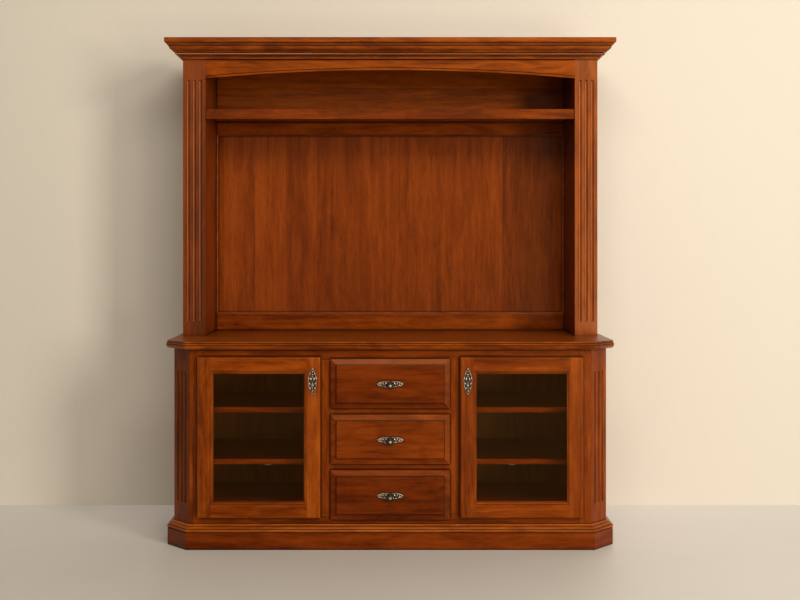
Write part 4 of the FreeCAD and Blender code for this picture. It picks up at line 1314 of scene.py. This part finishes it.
@dataclass
class GlazedDoor:
    """A door with a glass pane behind moulded stiles and rails, and its cast pull.

    Attributes:
        side: which door it is.
        finisher: gives the nodes their finishes.
    """

    side: Side
    finisher: Finisher

    @property
    def body(self) -> str:
        """The door's own body."""
        return f"{self.side.value}_door"

    def dress(self) -> None:
        """Finishes the door's nodes."""
        dress, sign = self.finisher.dress, self.side.sign
        # Painted light: the left door's stiles are made lighter and the right door's darker, evening out the
        # key lamp on the right.
        dress(f"{self.body}_stiles", Cherry(Grain.UPRIGHT, seed=0.23 + 0.17 * sign, tone=1.09 - 0.13 * sign,
                                            crease_shade=0.45, gloss=0.5), ease=0.0024)
        self.finisher.cherry(f"{self.body}_rails", Grain.LEVEL, tone=1.04, ease=0.0009)
        # Painted light: the glass stops are made lighter, for the lit edge round each pane.
        dress(f"{self.body}_glass_stops", Cherry(Grain.UPRIGHT, seed=0.19, tone=1.5, crease_shade=0.3, gloss=0.9))
        dress(f"{self.body}_glass", SmokedGlass())
        dress(f"{self.body}_hinge_cups", Nickel())

    def build_pull(self, mesh: bpy.types.Mesh) -> bpy.types.Object:
        """Puts the door's pull where the solid one is.

        Args:
            mesh: the pull, cast once for both doors.

        Returns:
            The pull.
        """
        low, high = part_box(f"{self.body}_pull")
        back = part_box(f"{self.body}_stiles")[0].y
        piece = linked(f"{self.body}_leaf_pull", mesh)
        piece.location = ((low.x + high.x) / 2, back, (low.z + high.z) / 2)
        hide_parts(f"{self.body}_pull")
        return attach(piece, self.body)


@dataclass
class Drawer:
    """A drawer: raised-panel front, maple box and cast pull.

    Attributes:
        level: which drawer it is: bottom, middle or top.
        tone: how light its front is.
        finisher: gives the nodes their finishes.
        border: width of the bevel round the raised field, in metres.
    """

    level: str
    tone: float
    finisher: Finisher
    border: float = 0.022

    @property
    def body(self) -> str:
        """The drawer's own body."""
        return f"{self.level}_drawer"

    def dress(self) -> None:
        """Finishes the drawer's nodes."""
        low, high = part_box(f"{self.body}_front")
        middle, half = (low + high) / 2, (high - low) / 2
        field = (middle.x, middle.z, half.x - self.border, half.z - self.border)
        count = len(self.level)
        dress = self.finisher.dress
        # The front gets a line of painted shade round its raised field.
        dress(f"{self.body}_front",
              Cherry(Grain.LEVEL, seed=count * 0.137, tone=self.tone, field=field), ease=0.0010)
        dress(f"{self.body}_box", Maple(Grain.AROUND, seed=count * 0.31), ease=0.0007)
        dress(f"{self.body}_bottom", Maple(Grain.DEEP, seed=count * 0.17))

    def build_pull(self, mesh: bpy.types.Mesh) -> bpy.types.Object:
        """Puts the drawer's pull where the solid plate and knob are.

        Args:
            mesh: the pull, cast once for the three drawers.

        Returns:
            The pull.
        """
        low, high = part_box(f"{self.body}_pull_plate")
        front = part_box(f"{self.body}_front")[0].y
        piece = linked(f"{self.body}_bud_pull", mesh)
        piece.location = (0, front, (low.z + high.z) / 2)
        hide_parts(f"{self.body}_pull_plate", f"{self.body}_knob")
        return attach(piece, self.body)


@dataclass(frozen=True)
class SoftBox:
    """One rectangular lamp.

    Attributes:
        name: its name.
        place: where it hangs, in metres.
        aim: what it points at.
        size: its width and height, in metres.
        power: how strong it is, in watts.
        colour: its light's colour.
    """

    name: str
    place: Triple
    aim: Triple
    size: Point
    power: float
    colour: Colour

    def hang(self) -> None:
        """Adds the lamp to the scene."""
        data = bpy.data.lights.new(self.name, "AREA")
        data.shape = "RECTANGLE"
        data.size, data.size_y = self.size
        data.energy = self.power
        data.color = self.colour
        lamp = linked(self.name, data)
        lamp.location = self.place
        lamp.rotation_mode = "QUATERNION"
        lamp.rotation_quaternion = (Vector(self.aim) - Vector(self.place)).to_track_quat("-Z", "Y")


@dataclass
class Studio:
    """Camera, plain floor and wall, lamps and sky, in metres.

    Attributes:
        eye: where the camera stands.
        lens: its focal length, in millimetres.
        shift: how far its picture is shifted, across and up.
        wall_y: where the wall stands.
        room: half the floor's width.
        wall_height: the wall's height.
    """

    eye: Triple = (0.0, -4.2914, 1.129)
    lens: float = 49.5
    shift: Point = (0.01225, -0.0731)
    wall_y: float = 0.42
    room: float = 7.0
    wall_height: float = 4.5

    FLOOR_DARK = (0.60, 0.575, 0.54)
    FLOOR_LIGHT = (0.64, 0.615, 0.58)
    WALL = (0.75, 0.70, 0.625)

    LAMPS = (
        SoftBox("key", (4.2, -4.8, 2.3), (0, -0.1, 1.0), (1.3, 3.2), 236.0, (1.0, 0.91, 0.78)),
        SoftBox("overhead", (0.3, -3.6, 3.8), (0, -0.1, 0.9), (2.6, 1.3), 95.0, (1.0, 0.93, 0.82)),
        SoftBox("low", (2.3, -4.6, 0.35), (0, -0.1, 0.9), (1.2, 0.6), 20.0, (1.0, 0.90, 0.76)),
        SoftBox("rear", (1.0, 4.5, 2.7), (0, 0, 1.0), (5.0, 5.0), 130.0, (1.0, 0.96, 0.90)),
    )

    # The sky that lights the cabinet, and the one that is seen, also in glass and metal.
    SOFT_SKY = (1.0, 0.86, 0.62)
    SOFT_STRENGTH = 0.15
    SEEN_SKY = (0.58, 0.55, 0.49)

    def camera(self) -> None:
        """Adds the camera, level and in front of the cabinet."""
        data = bpy.data.cameras.new("camera")
        data.lens = self.lens
        data.shift_x, data.shift_y = self.shift
        camera = linked("camera", data)
        camera.location = self.eye
        camera.rotation_euler = (math.radians(90), 0, 0)
        bpy.context.scene.camera = camera

    def plane(self, name: str, corners: Sequence[Triple], material: bpy.types.Material) -> bpy.types.Object:
        """Adds a flat backdrop piece that isn't part of the cabinet.

        Args:
            name: its name.
            corners: its corners, in order.
            material: its finish.

        Returns:
            The piece.
        """
        mesh = bpy.data.meshes.new(name)
        mesh.from_pydata([Vector(corner) for corner in corners], [], [tuple(range(len(corners)))])
        mesh.materials.append(material)
        piece = linked(name, mesh)
        return piece

    def floor(self) -> None:
        """Adds the pale floor."""
        room = self.room
        board = Board.of_finish("pale_floor")
        speck = board.cloud(board.place(), scale=3.0, detail=2.0)
        colour = board.mixed(speck, self.FLOOR_DARK, self.FLOOR_LIGHT)
        self.plane("floor", [(-room, -room, 0), (room, -room, 0), (room, room, 0), (-room, room, 0)],
                   board.ended(board.shader(Base_Color=colour, Roughness=0.6)))

    def wall(self) -> None:
        """Adds a wall that shows only from its front and casts no shadow."""
        room, y, high = self.room, self.wall_y, self.wall_height
        board = Board.of_finish("pale_wall")
        plaster = board.cloud(board.place(), scale=28.0, detail=4.0)
        paint = board.shader(Base_Color=(*self.WALL, 1.0), Roughness=0.85,
                             Normal=board.bump(plaster, strength=0.25, distance=0.004))
        behind = board.wire("ShaderNodeNewGeometry", {}, {}, "Backfacing")
        screen = self.plane("wall", [(-room, y, 0), (room, y, 0), (room, y, high), (-room, y, high)],
                            board.ended(board.layered(behind, paint, board.clear())))
        screen.visible_shadow = False

    def sky(self) -> None:
        """Sets the sky: a soft light, and a pale colour where it is seen."""
        board = Board(bpy.data.worlds.new("sky"))
        soft, seen = (board.wire("ShaderNodeBackground", {}, {"Color": (*colour, 1.0), "Strength": strength})
                      for colour, strength in ((self.SOFT_SKY, self.SOFT_STRENGTH), (self.SEEN_SKY, 1.0)))
        path = board.node("ShaderNodeLightPath", {}, {})
        camera, glossy, through = (Wire(board, path.outputs[f"Is {kind} Ray"])
                                   for kind in ("Camera", "Glossy", "Transmission"))
        pale = camera.larger(glossy).larger(through)
        bpy.context.scene.world = board.ended(board.layered(pale, soft, seen))

    def build(self) -> None:
        """Sets up everything round the cabinet."""
        self.camera()
        self.floor()
        self.wall()
        for lamp in self.LAMPS:
            lamp.hang()
        self.sky()


def main() -> None:
    """Builds and dresses every part of the cabinet, in order."""
    logging.basicConfig(level=logging.INFO, format="%(name)s: %(message)s")
    bpy.context.scene.view_settings.view_transform = "Standard"
    Studio().build()
    finisher = Finisher()
    BaseCabinet(finisher).dress()
    hutch = Hutch(finisher)
    hutch.dress()
    LOG.info("built %s", hutch.build_rope_bead().name)
    leaf = DoorPull().build()
    leaf.materials.append(finisher.material(Pewter(share=1.15)))
    for side in Side:
        door = GlazedDoor(side, finisher)
        door.dress()
        LOG.info("built %s", door.build_pull(leaf).name)
    bud = DrawerPull().build()
    bud.materials.append(finisher.material(Pewter(share=0.84)))
    for level, tone in (("bottom", 0.70), ("middle", 0.82), ("top", 0.65)):
        drawer = Drawer(level, tone, finisher)
        drawer.dress()
        LOG.info("built %s", drawer.build_pull(bud).name)


if __name__ == "__main__":
    main()
